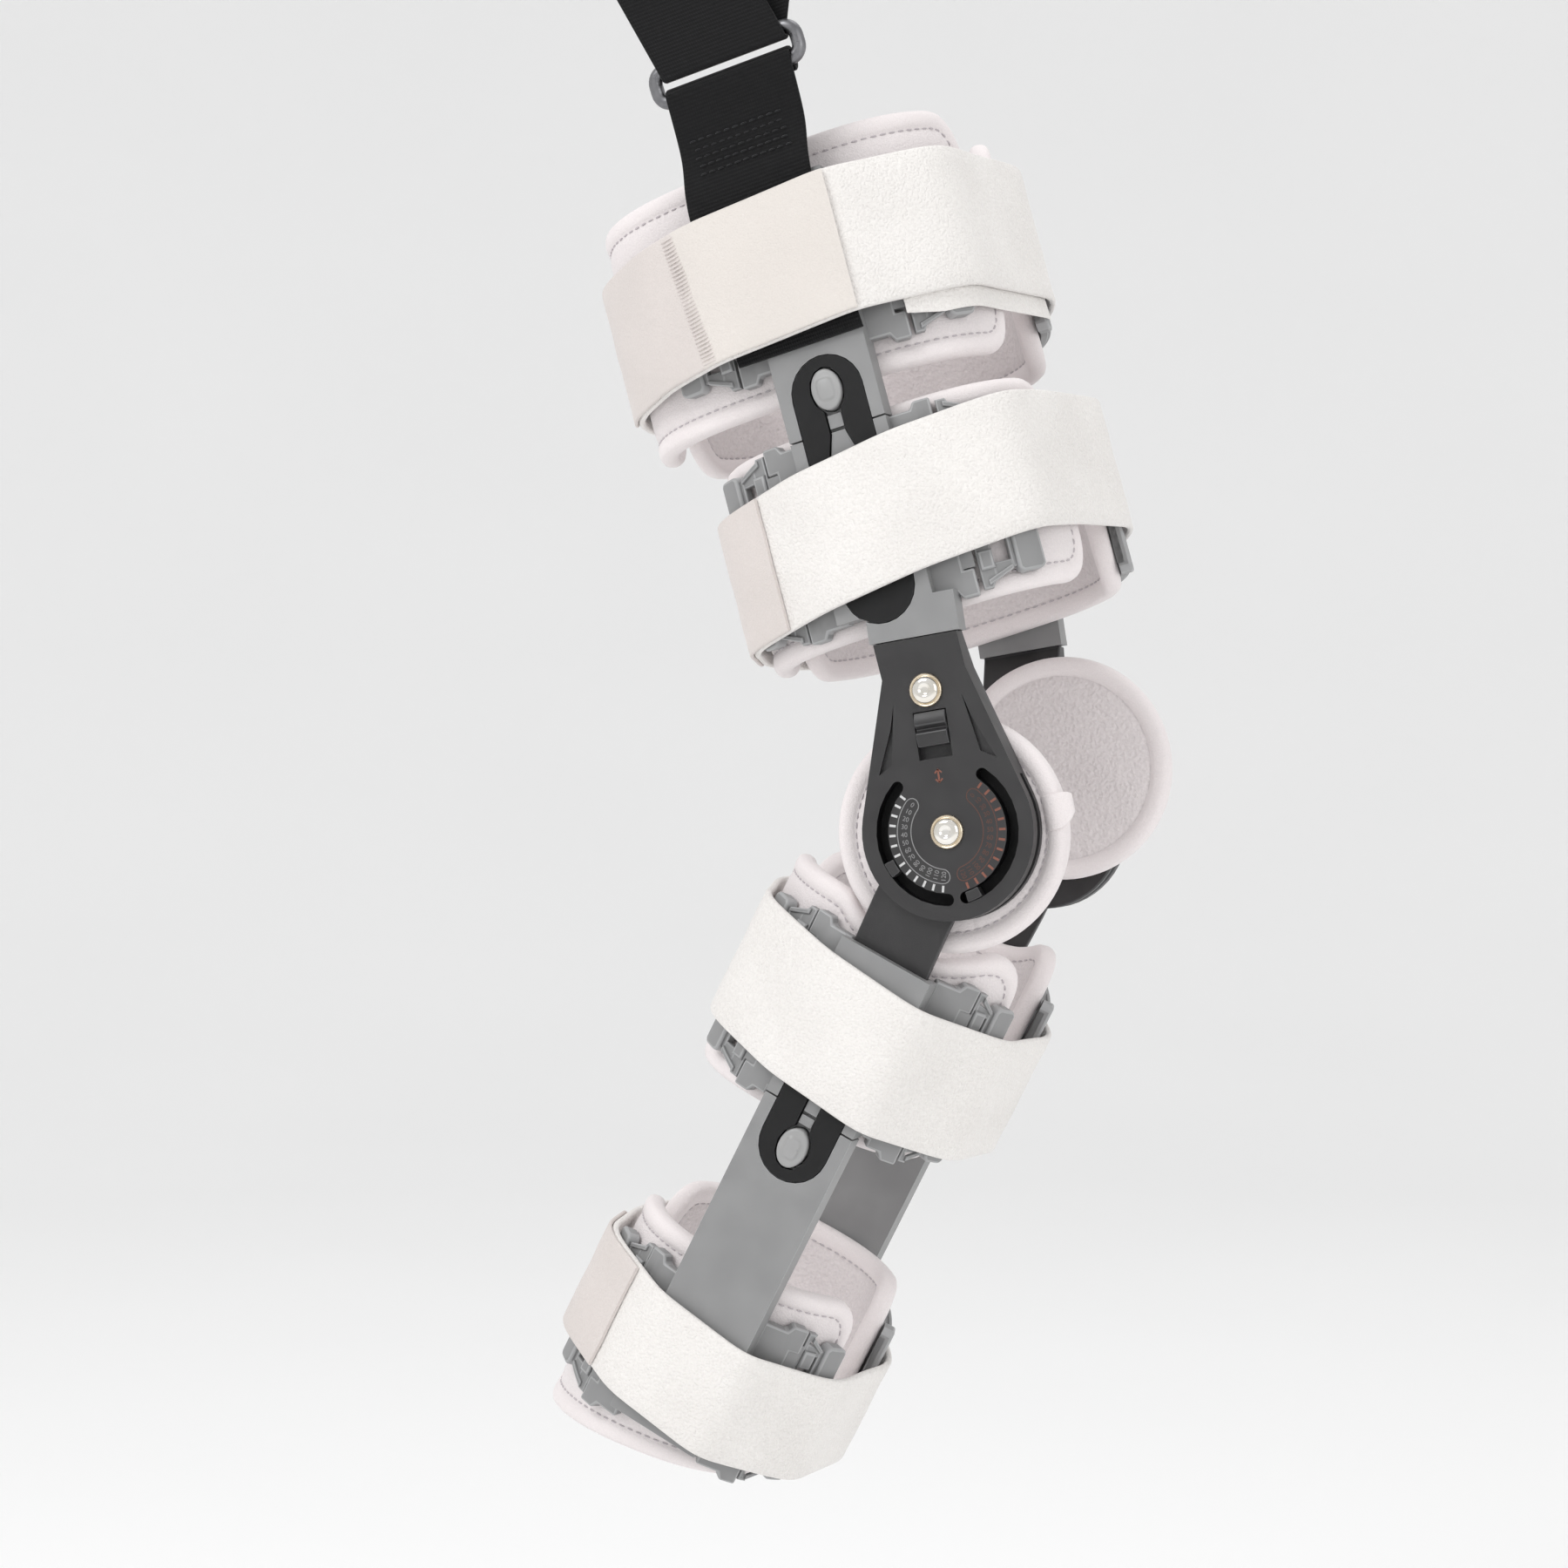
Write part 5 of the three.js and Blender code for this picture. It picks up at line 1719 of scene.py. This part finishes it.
@dataclass
class SlotPaintedShade:
    """Painted shade in the dial's two curved slots: their walls blackened, and a thin black sheet behind
    them.
    """

    radii: tuple[float, float] = (21.5, 28.0)
    shade_sheet: tuple[float, float] = (COVER_THICK + 0.08, COVER_THICK + 0.27)

    def build(self) -> list[bpy.types.Object]:
        """Builds the black sheet of painted shade between the dial's cover and the arm.

        Returns:
            The sheet's object in a list.
        """
        low, high = self.radii
        near, far = (depth - HINGE_FACE for depth in self.shade_sheet)
        profile = [(low, near), (high, near), (high, far), (low, far), (low, near)]
        maker = MeshMaker()
        lathe(maker, profile, (0.0, 0.0), HINGE_FRAME.world, [0] * len(profile), steps=64)
        return [maker.build("lateral_slot_washer", (Finish.SLOT_INSIDE,), 40.0, merge_mm=0.005)]

    def paint(self, housing: bpy.types.Object) -> None:
        """Blackens the slots' walls: painted shade.

        Args:
            housing: The outer hinge housing, already dressed.
        """
        # Painted shade: the faces of the slots' walls take the near-black finish.
        housing.data.materials.append(Finish.SLOT_INSIDE.material())
        inside = len(housing.data.materials) - 1
        low, high = (radius * MM for radius in self.radii)
        for face in housing.data.polygons:
            reach = math.hypot(face.center.x, face.center.z)
            if low < reach < high and abs(face.normal.y) < 0.5:
                face.material_index = inside


@dataclass
class ReleaseButton:
    """The oval release button of a telescope, with a raised finger facet."""

    node: str
    segment: Segment
    half: float = 5.7
    length: float = 15.4
    proud: float = 1.2

    # Share of the half sizes, distance out from the top, and the outline's exponent.
    profile: tuple[tuple[float, float, float], ...] = (
        (0.0, -5.2, 1.0), (0.95, -5.2, 1.0), (1.0, -4.7, 1.0), (1.0, -0.7, 1.0), (0.97, -0.3, 1.0),
        (0.90, -0.05, 1.0), (0.84, 0.0, 1.0), (0.62, 0.1, 0.6), (0.56, 0.25, 0.6), (0.50, 0.75, 0.6),
        (0.44, 0.9, 0.6), (0.0, 0.95, 0.6))
    steps: int = 36

    def build(self) -> list[bpy.types.Object]:
        """Builds the button.

        Returns:
            The button's object in a list.
        """
        top = self.segment.plate_face - self.proud
        profile = [(share, top - out) for share, out, _ in self.profile]
        powers = [power for _, _, power in self.profile]
        maker = MeshMaker()
        lathe(maker, profile, (0.0, self.segment.button_at), self.segment.world, [0] * len(profile),
              (self.half, self.length / 2), self.steps, powers)
        button = maker.build(f"{self.node}_cap", (Finish.BUTTON,), 40.0, merge_mm=0.005)
        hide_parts(self.node)
        return [button]


@dataclass
class DialPrint:
    """The printed scales of the outer hinge: ticks, plain numbers and a rounded frame on each side."""

    tick_from: float = 45.0
    tick_to: float = 167.0
    ticks: int = 13
    tick_radii: tuple[float, float] = (19.6, 22.0)
    tick_width: float = 0.85
    frame_radii: tuple[float, float] = (13.7, 18.9)
    frame_width: float = 0.32
    frame_steps: int = 40
    number_size: float = 2.5
    lift: float = 0.06

    # The double arrow: its middle's height, half its shaft, its tips' and barbs' reach and half its width.
    arrow_at: float = 20.5
    arrow_shaft: float = 1.5
    arrow_tip: float = 2.4
    arrow_barb: float = 1.1
    arrow_half: float = 1.3
    arrow_widths: tuple[float, float] = (0.7, 0.6)

    def place(self, flat: np.ndarray) -> np.ndarray:
        """Maps rows of x, height and lift on the dial's face to metres."""
        return HINGE_FRAME.world(np.column_stack((flat[:, 0], -HINGE_FACE - flat[:, 2], flat[:, 1])))

    def ribbon(self, maker: MeshMaker, line: np.ndarray, width: float, closed: bool = False,
               slot: int = 0) -> None:
        """Prints a line of even width.

        Args:
            maker: The mesh to add to.
            line: Rows of x and height.
            width: The line's width.
            closed: Whether it closes on itself.
            slot: Its material slot.
        """
        if closed:
            ahead, behind = np.roll(line, -1, axis=0), np.roll(line, 1, axis=0)
        else:
            ahead, behind = np.vstack((line[1:], line[-1:])), np.vstack((line[:1], line[:-1]))
        along = ahead - behind
        along /= np.linalg.norm(along, axis=1)[:, None]
        side = np.column_stack((-along[:, 1], along[:, 0])) * width / 2
        rows = []
        for sign, lift in ((1, 0.0), (1, self.lift), (-1, self.lift), (-1, 0.0)):
            rows.append(self.place(np.column_stack((line + sign * side, np.full(len(line), lift)))))
        maker.skin(np.stack(rows, axis=1), loop=closed, slot=slot)

    @staticmethod
    def polar(radius: float | np.ndarray, degrees: float | np.ndarray) -> np.ndarray:
        """Places on the dial by radius and angle from its top, positive to the front."""
        turn = np.radians(degrees)
        return np.column_stack((radius * np.sin(turn), radius * np.cos(turn)))

    def scale(self, sign: int) -> MeshMaker:
        """Draws one side's ticks and frame.

        Args:
            sign: 1 for the front scale and -1 for the back one.

        Returns:
            The mesh so far.
        """
        maker = MeshMaker()
        for angle in np.linspace(self.tick_from, self.tick_to, self.ticks):
            radii = np.linspace(*self.tick_radii, 3)
            self.ribbon(maker, self.polar(radii, np.full(3, sign * angle)), self.tick_width)
        low, high = self.frame_radii
        middle, cap = (low + high) / 2, (high - low) / 2
        start, end = self.tick_from + 1, self.tick_to - 1
        sweep = np.linspace(start, end, self.frame_steps)
        bulge = np.radians(np.linspace(0, 180, 10)[1:-1])
        out, past = cap * np.cos(bulge), np.degrees(cap * np.sin(bulge) / middle)
        far_cap = np.column_stack((middle + out, end + past))
        near_cap = np.column_stack((middle - out, start - past))
        outline = np.vstack((np.column_stack((np.full(len(sweep), high), sweep)), far_cap,
                             np.column_stack((np.full(len(sweep), low), sweep[::-1])), near_cap))
        line = self.polar(outline[:, 0], sign * outline[:, 1])
        self.ribbon(maker, line, self.frame_width, closed=True, slot=1)
        return maker

    def numbers(self, maker: MeshMaker, sign: int) -> None:
        """Adds the plain numbers 0 to 120, each read along its radius.

        Args:
            maker: The mesh to add to.
            sign: 1 for the front scale and -1 for the back one.
        """
        for index, angle in enumerate(np.linspace(self.tick_from, self.tick_to, self.ticks)):
            text = bpy.data.curves.new("number", "FONT")
            text.body = str(10 * index)
            text.size = self.number_size
            text.align_x, text.align_y = "CENTER", "CENTER"
            text.resolution_u = 3
            holder = bpy.data.objects.new("number", text)
            bpy.context.scene.collection.objects.link(holder)
            graph = bpy.context.evaluated_depsgraph_get()
            mesh = holder.evaluated_get(graph).to_mesh()
            corners = np.array([v.co[:2] for v in mesh.vertices])
            faces = [tuple(face.vertices) for face in mesh.polygons]
            holder.evaluated_get(graph).to_mesh_clear()
            bpy.data.objects.remove(holder)
            bpy.data.curves.remove(text)
            turn = math.radians(90 - sign * angle) + (math.pi if sign < 0 else 0.0)
            spin = np.array(((math.cos(turn), -math.sin(turn)), (math.sin(turn), math.cos(turn))))
            middle = self.polar(sum(self.frame_radii) / 2, np.array([sign * angle]))
            flat = corners @ spin.T + middle
            places = self.place(np.column_stack((flat, np.full(len(flat), self.lift))))
            maker.add(places, faces, [1] * len(faces))

    def arrow(self, maker: MeshMaker) -> None:
        """Adds the small double arrow below the lock's window."""
        thick, thin = self.arrow_widths
        for sign in (-1, 1):
            tip, barb = (self.arrow_at + sign * reach for reach in (self.arrow_tip, self.arrow_barb))
            head = np.array(((-self.arrow_half, barb), (0.0, tip), (self.arrow_half, barb)))
            self.ribbon(maker, np.array(((0.0, tip), (0.0, tip - sign))), thick)
            self.ribbon(maker, head, thin)
        low, high = self.arrow_at - self.arrow_shaft, self.arrow_at + self.arrow_shaft
        self.ribbon(maker, np.array(((0.0, low), (0.0, high))), thick)

    def build(self) -> list[bpy.types.Object]:
        """Builds both scales.

        Returns:
            The back scale, then the front one.
        """
        made = []
        inks = ((-1, "dial_print_extension", (Finish.WHITE_PRINT, Finish.WHITE_FAINT)),
                (1, "dial_print_flexion", (Finish.ORANGE_PRINT, Finish.ORANGE_FAINT)))
        for sign, name, finishes in inks:
            maker = self.scale(sign)
            self.numbers(maker, sign)
            if sign > 0:
                self.arrow(maker)
            made.append(maker.build(name, finishes, 30.0))
        return made


# Suspension


@dataclass
class Suspension:
    """The black webbing on the outer side of the thigh and the metal ring that joins its lengths."""

    low_bar: Place = (-2.0, -85.0, 285.4)
    high_bar: Place = (-2.0, -86.5, 297.2)
    wire: float = 2.6
    lower_route: tuple[Place, ...] = (
        (-5.0, -76.1, 185.0), (-7.0, -76.1, 212.0), (-9.0, -76.1, 240.0), (-8.0, -77.6, 252.0),
        (-5.0, -80.0, 266.0))
    outer_top: Place = (-12.0, -97.0, 340.0)
    inner_top: Place = (15.0, -87.0, 336.0)
    low_turn: tuple[float, float] = (180.0, -90.0)
    high_turn: tuple[float, float] = (200.0, 380.0)
    edge: float = 0.8
    seam_rows: tuple[float, ...] = (257.5, 260.5, 263.5, 266.5, 269.5)
    seam_x: float = -6.0
    seam_half: float = 19.0
    seam_stagger: float = 0.8
    seam_lift: float = 0.05
    ring_over: float = 3.4
    ring_corner: float = 4.5

    def turn(self, bar: Place, start: float, end: float) -> list[Place]:
        """Goes round a bar.

        Args:
            bar: The bar's place.
            start: The angle where the turn starts, in degrees in the y and w plane.
            end: Where it ends.

        Returns:
            Places on the turn.
        """
        radius = self.wire + GAP + WEBBING_THICK / 2
        angles = np.radians(np.linspace(start, end, 13))
        return [(bar[0], bar[1] + radius * math.cos(a), bar[2] + radius * math.sin(a)) for a in angles]

    @staticmethod
    def smooth(route: Sequence[Place], step: float = 1.5) -> np.ndarray:
        """Rounds a route by given places into an even path.

        Args:
            route: The places.
            step: The spacing of the path's points.

        Returns:
            Rows of x, y and w in mm.
        """
        points = np.array(route)
        wide = np.vstack((2 * points[0] - points[1], points, 2 * points[-1] - points[-2]))
        fine = []
        for p0, p1, p2, p3 in zip(wide, wide[1:], wide[2:], wide[3:]):
            for t in np.linspace(0, 1, 12, endpoint=False):
                fine.append(0.5 * (2 * p1 + (p2 - p0) * t + (2 * p0 - 5 * p1 + 4 * p2 - p3) * t**2
                                   + (3 * p1 - p0 - 3 * p2 + p3) * t**3))
        fine.append(points[-1])
        path = np.array(fine)
        run = np.concatenate(([0.0], np.cumsum(np.linalg.norm(np.diff(path, axis=0), axis=1))))
        even = np.linspace(0, run[-1], max(8, int(run[-1] / step)))
        return np.column_stack([np.interp(even, run, path[:, k]) for k in range(3)])

    def webbing(self, name: str, route: Sequence[Place]) -> bpy.types.Object:
        """Builds one length of webbing.

        Args:
            name: The CAD node that it replaces.
            route: Places on its middle line.

        Returns:
            The webbing's object.
        """
        path = self.smooth(route)
        profile = band_profile(WEBBING_HALF, WEBBING_THICK, self.edge, across=24)
        along = np.gradient(path, axis=0)
        along[:, 0] = 0
        along /= np.linalg.norm(along, axis=1)[:, None]
        out = np.column_stack((np.zeros(len(path)), along[:, 2], -along[:, 1]))
        rows = []
        for place, normal in zip(path, out):
            depth = (profile[:, 1] - WEBBING_THICK / 2)[:, None] * -normal
            rows.append(THIGH.world(place + depth + profile[:, :1] * np.array((1.0, 0.0, 0.0))))
        run = np.concatenate(([0.0], np.cumsum(np.linalg.norm(np.diff(path, axis=0), axis=1))))
        across = np.concatenate((profile[:, 0], profile[:1, 0]))
        maker = MeshMaker()
        maker.skin(np.array(rows), along=run * MM, across=across * MM)
        made = maker.build(f"{name}_weave", (Finish.WEBBING,), 50.0)
        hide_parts(name)
        return made

    def seam(self) -> bpy.types.Object:
        """Sews the rows of thread that close the lower webbing's loop.

        Returns:
            The stitching's object.
        """
        maker = MeshMaker()
        route = np.array([*self.lower_route, self.turn(self.low_bar, *self.low_turn)[0]])
        points = 30
        up = np.tile(np.array((0.0, -1.0, 0.0)), (points, 1))
        for row, w in enumerate(self.seam_rows):
            reach = self.seam_half - self.seam_stagger * (row % 2)
            y = np.interp(w, route[:, 2], route[:, 1]) - WEBBING_THICK / 2 - self.seam_lift
            x = np.linspace(self.seam_x - reach, self.seam_x + reach, points)
            line = THIGH.world(np.column_stack((x, np.full(points, y), np.full(points, w))))
            stitch_run(maker, line, up, WEBBING_STITCH)
        return maker.build("suspension_webbing_seam", (Finish.BLACK_THREAD,))

    def ring(self) -> bpy.types.Object:
        """Bends the ring from round bar.

        Returns:
            The ring's object.
        """
        half_wide = WEBBING_HALF + self.ring_over
        low, high = np.array(self.low_bar), np.array(self.high_bar)
        middle, rise = (low + high) / 2, high - low
        half_tall = float(np.linalg.norm(rise)) / 2
        up = rise / np.linalg.norm(rise)
        across, through = np.array((1.0, 0.0, 0.0)), np.array((0.0, up[2], -up[1]))
        corner = min(self.ring_corner, half_tall)
        around = np.radians(np.arange(0, 360, 24))
        rows = []
        for right, top, start in ((1, -1, -90), (1, 1, 0), (-1, 1, 90), (-1, -1, 180)):
            for angle in np.radians(start + np.linspace(0, 90, 9)):
                out = across * math.cos(angle) + up * math.sin(angle)
                centre = (middle + across * right * (half_wide - corner) + up * top * (half_tall - corner)
                          + out * corner)
                rows.append(THIGH.world(centre + self.wire * (np.cos(around)[:, None] * out
                                                             + np.sin(around)[:, None] * through)))
        maker = MeshMaker()
        maker.skin(np.array(rows), loop=True)
        made = maker.build("suspension_ring_wire", (Finish.RING,), 60.0)
        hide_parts("suspension_ring")
        return made

    def build(self) -> list[bpy.types.Object]:
        """Builds the webbing, its seam and the ring.

        Returns:
            The pieces.
        """
        lower = [*self.lower_route, *self.turn(self.low_bar, *self.low_turn)]
        upper = [self.outer_top, *self.turn(self.high_bar, *self.high_turn), self.inner_top]
        return [self.webbing("suspension_webbing_lower", lower),
                self.webbing("suspension_webbing_upper", upper), self.seam(), self.ring()]


# Studio


@dataclass
class Studio:
    """A pale bowl-shaped floor, soft lights and the camera."""

    floor_z: float = -0.44
    bowl_radius: float = 4.0
    bowl_height: float = 2.1
    bowl_bend: float = 1.5
    bowl_steps: int = 64
    flat_radius: float = 1.0
    paper: Paper = Paper("pale_floor", (0.95, 0.95, 0.95), (0.935, 0.935, 0.935))
    sky: float = 0.76
    lens: float = 75.14
    sensor: float = 36.0
    camera_at: Place = (0.3496, -1.2030, 0.0173)
    camera_way: Place = (-0.34202, 0.93969, 0.0)

    # Each soft light's name, place, aim, side in metres and power in watts.
    lights: tuple[tuple[str, Place, Place, float, float], ...] = (
        ("key", (-0.9, -1.6, 1.5), (-0.05, 0.0, 0.02), 1.0, 18.0),
        ("fill", (1.7, -1.2, 0.6), (0.0, 0.0, 0.0), 1.2, 6.5),
        ("top", (0.1, 0.5, 2.0), (0.0, 0.0, 0.0), 1.4, 8.5))

    def camera(self) -> None:
        """Sets the camera level with the knee, a little in front of the leg's outer side."""
        data = bpy.data.cameras.new("camera")
        data.lens = self.lens
        data.sensor_width = self.sensor
        camera = bpy.data.objects.new("camera", data)
        camera.location = self.camera_at
        camera.rotation_euler = Vector(self.camera_way).to_track_quat("-Z", "Y").to_euler()
        bpy.context.scene.collection.objects.link(camera)
        bpy.context.scene.camera = camera

    def floor(self) -> None:
        """Makes the floor, which rises in a wide curve all round."""
        bend = self.bowl_bend
        turns = np.radians(np.linspace(0, 90, 9))
        flat = self.bowl_radius - bend
        profile = [(0.0, 0.0), (self.flat_radius, 0.0),
                   *zip(flat + bend * np.sin(turns), bend * (1 - np.cos(turns))),
                   (self.bowl_radius, self.bowl_height)]
        maker = MeshMaker()
        rows = []
        spin = np.linspace(0, 2 * math.pi, self.bowl_steps, endpoint=False)
        for radius, height in profile:
            rows.append(np.column_stack((radius * np.cos(spin), radius * np.sin(spin),
                                         np.full(len(spin), self.floor_z + height))))
        maker.skin(np.array(rows), caps=False)
        bowl = maker.build("floor", (), 180.0, merge_mm=0.01)
        bowl.data.flip_normals()
        bowl.data.materials.append(self.paper.material())
        bowl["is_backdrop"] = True

    def light(self, name: str, place: Place, aim: Place, size: float, power: float) -> None:
        """Adds a soft square light.

        Args:
            name: The light's name.
            place: Where it stands.
            aim: Where it points.
            size: Its side, in metres.
            power: Its power, in watts.
        """
        data = bpy.data.lights.new(name, "AREA")
        data.size = size
        data.energy = power
        lamp = bpy.data.objects.new(name, data)
        lamp.location = place
        way = Vector(aim) - Vector(place)
        lamp.rotation_euler = way.to_track_quat("-Z", "Y").to_euler()
        bpy.context.scene.collection.objects.link(lamp)

    def build(self) -> None:
        """Sets the camera, floor, lights and sky."""
        self.camera()
        self.floor()
        for light in self.lights:
            self.light(*light)
        world = bpy.data.worlds.new("sky")
        world.use_nodes = True
        sky = world.node_tree.nodes["Background"]
        sky.inputs["Color"].default_value = (1.0, 1.0, 1.0, 1.0)
        sky.inputs["Strength"].default_value = self.sky
        bpy.context.scene.world = world
        bpy.context.scene.view_settings.view_transform = "Standard"


# Assembly


def settle(pieces: Sequence[bpy.types.Object], body: str) -> None:
    """Puts pieces on a body and reports them.

    Args:
        pieces: The pieces.
        body: The CAD body that they ride on.
    """
    for piece in pieces:
        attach(piece, body)
        LOG.info("%s rides on %s, %d faces", piece.name, body, len(piece.data.polygons))


def main() -> None:
    """Builds the brace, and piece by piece."""
    logging.basicConfig(level=logging.INFO, format="%(name)s: %(message)s")
    Studio().build()
    pads: list[tuple[list[bpy.types.Object], str]] = []
    for cuff in CUFFS:
        for side in Side:
            pads.append((CuffPad(cuff, side).build(), cuff.body))
    pads.append((KneePad(Side.LATERAL, LATERAL_KNEE_PAD_AT).build(), "thigh"))
    pads.append((KneePad(Side.MEDIAL, MEDIAL_KNEE_PAD_AT).build(), "thigh"))
    Inflation([pieces[0] for pieces, _ in pads], cap_mm=PAD_SWELL_MM).run()
    for pieces, body in pads:
        settle(pieces, body)
    for cuff in CUFFS:
        strap = Strap(cuff)
        settle([strap.build()], cuff.body)
        if cuff.tab:
            settle(strap.tab(), cuff.body)
        if cuff.name == "upper_thigh":
            settle([strap.return_layer()], cuff.body)
        for side in Side:
            for front in (False, True):
                settle(Wing(cuff, side, front).build(), cuff.body)
            settle(Ears(cuff, side).build(), cuff.body)
    settle(Suspension().build(), "thigh_cuff")
    settle(Screw("lateral_pivot_screw", Side.LATERAL).build(), "thigh")
    settle(Screw("medial_pivot_screw", Side.MEDIAL).build(), "thigh")
    settle(Screw("lateral_upper_screw", Side.LATERAL, UPPER_SCREW_AT).build(), "thigh")
    settle(ReleaseButton("lateral_thigh_button", THIGH).build(), "thigh_button")
    settle(ReleaseButton("lateral_calf_button", CALF).build(), "calf_button")
    settle(DialPrint().build(), "thigh")
    slots = SlotPaintedShade()
    settle(slots.build(), "thigh")
    for moulding in mouldings():
        dressed = moulding.dress()
        if moulding.node == "lateral_hinge_housing":
            slots.paint(dressed)
        LOG.info("%s keeps its shape, with %.1f mm edges", dressed.name, moulding.edge_mm)
    boxes = {"cad": CAD_BOX, "visual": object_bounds()}
    {key: [list(corner) for corner in box] for key, box in boxes.items()}


if __name__ == "__main__":
    main()
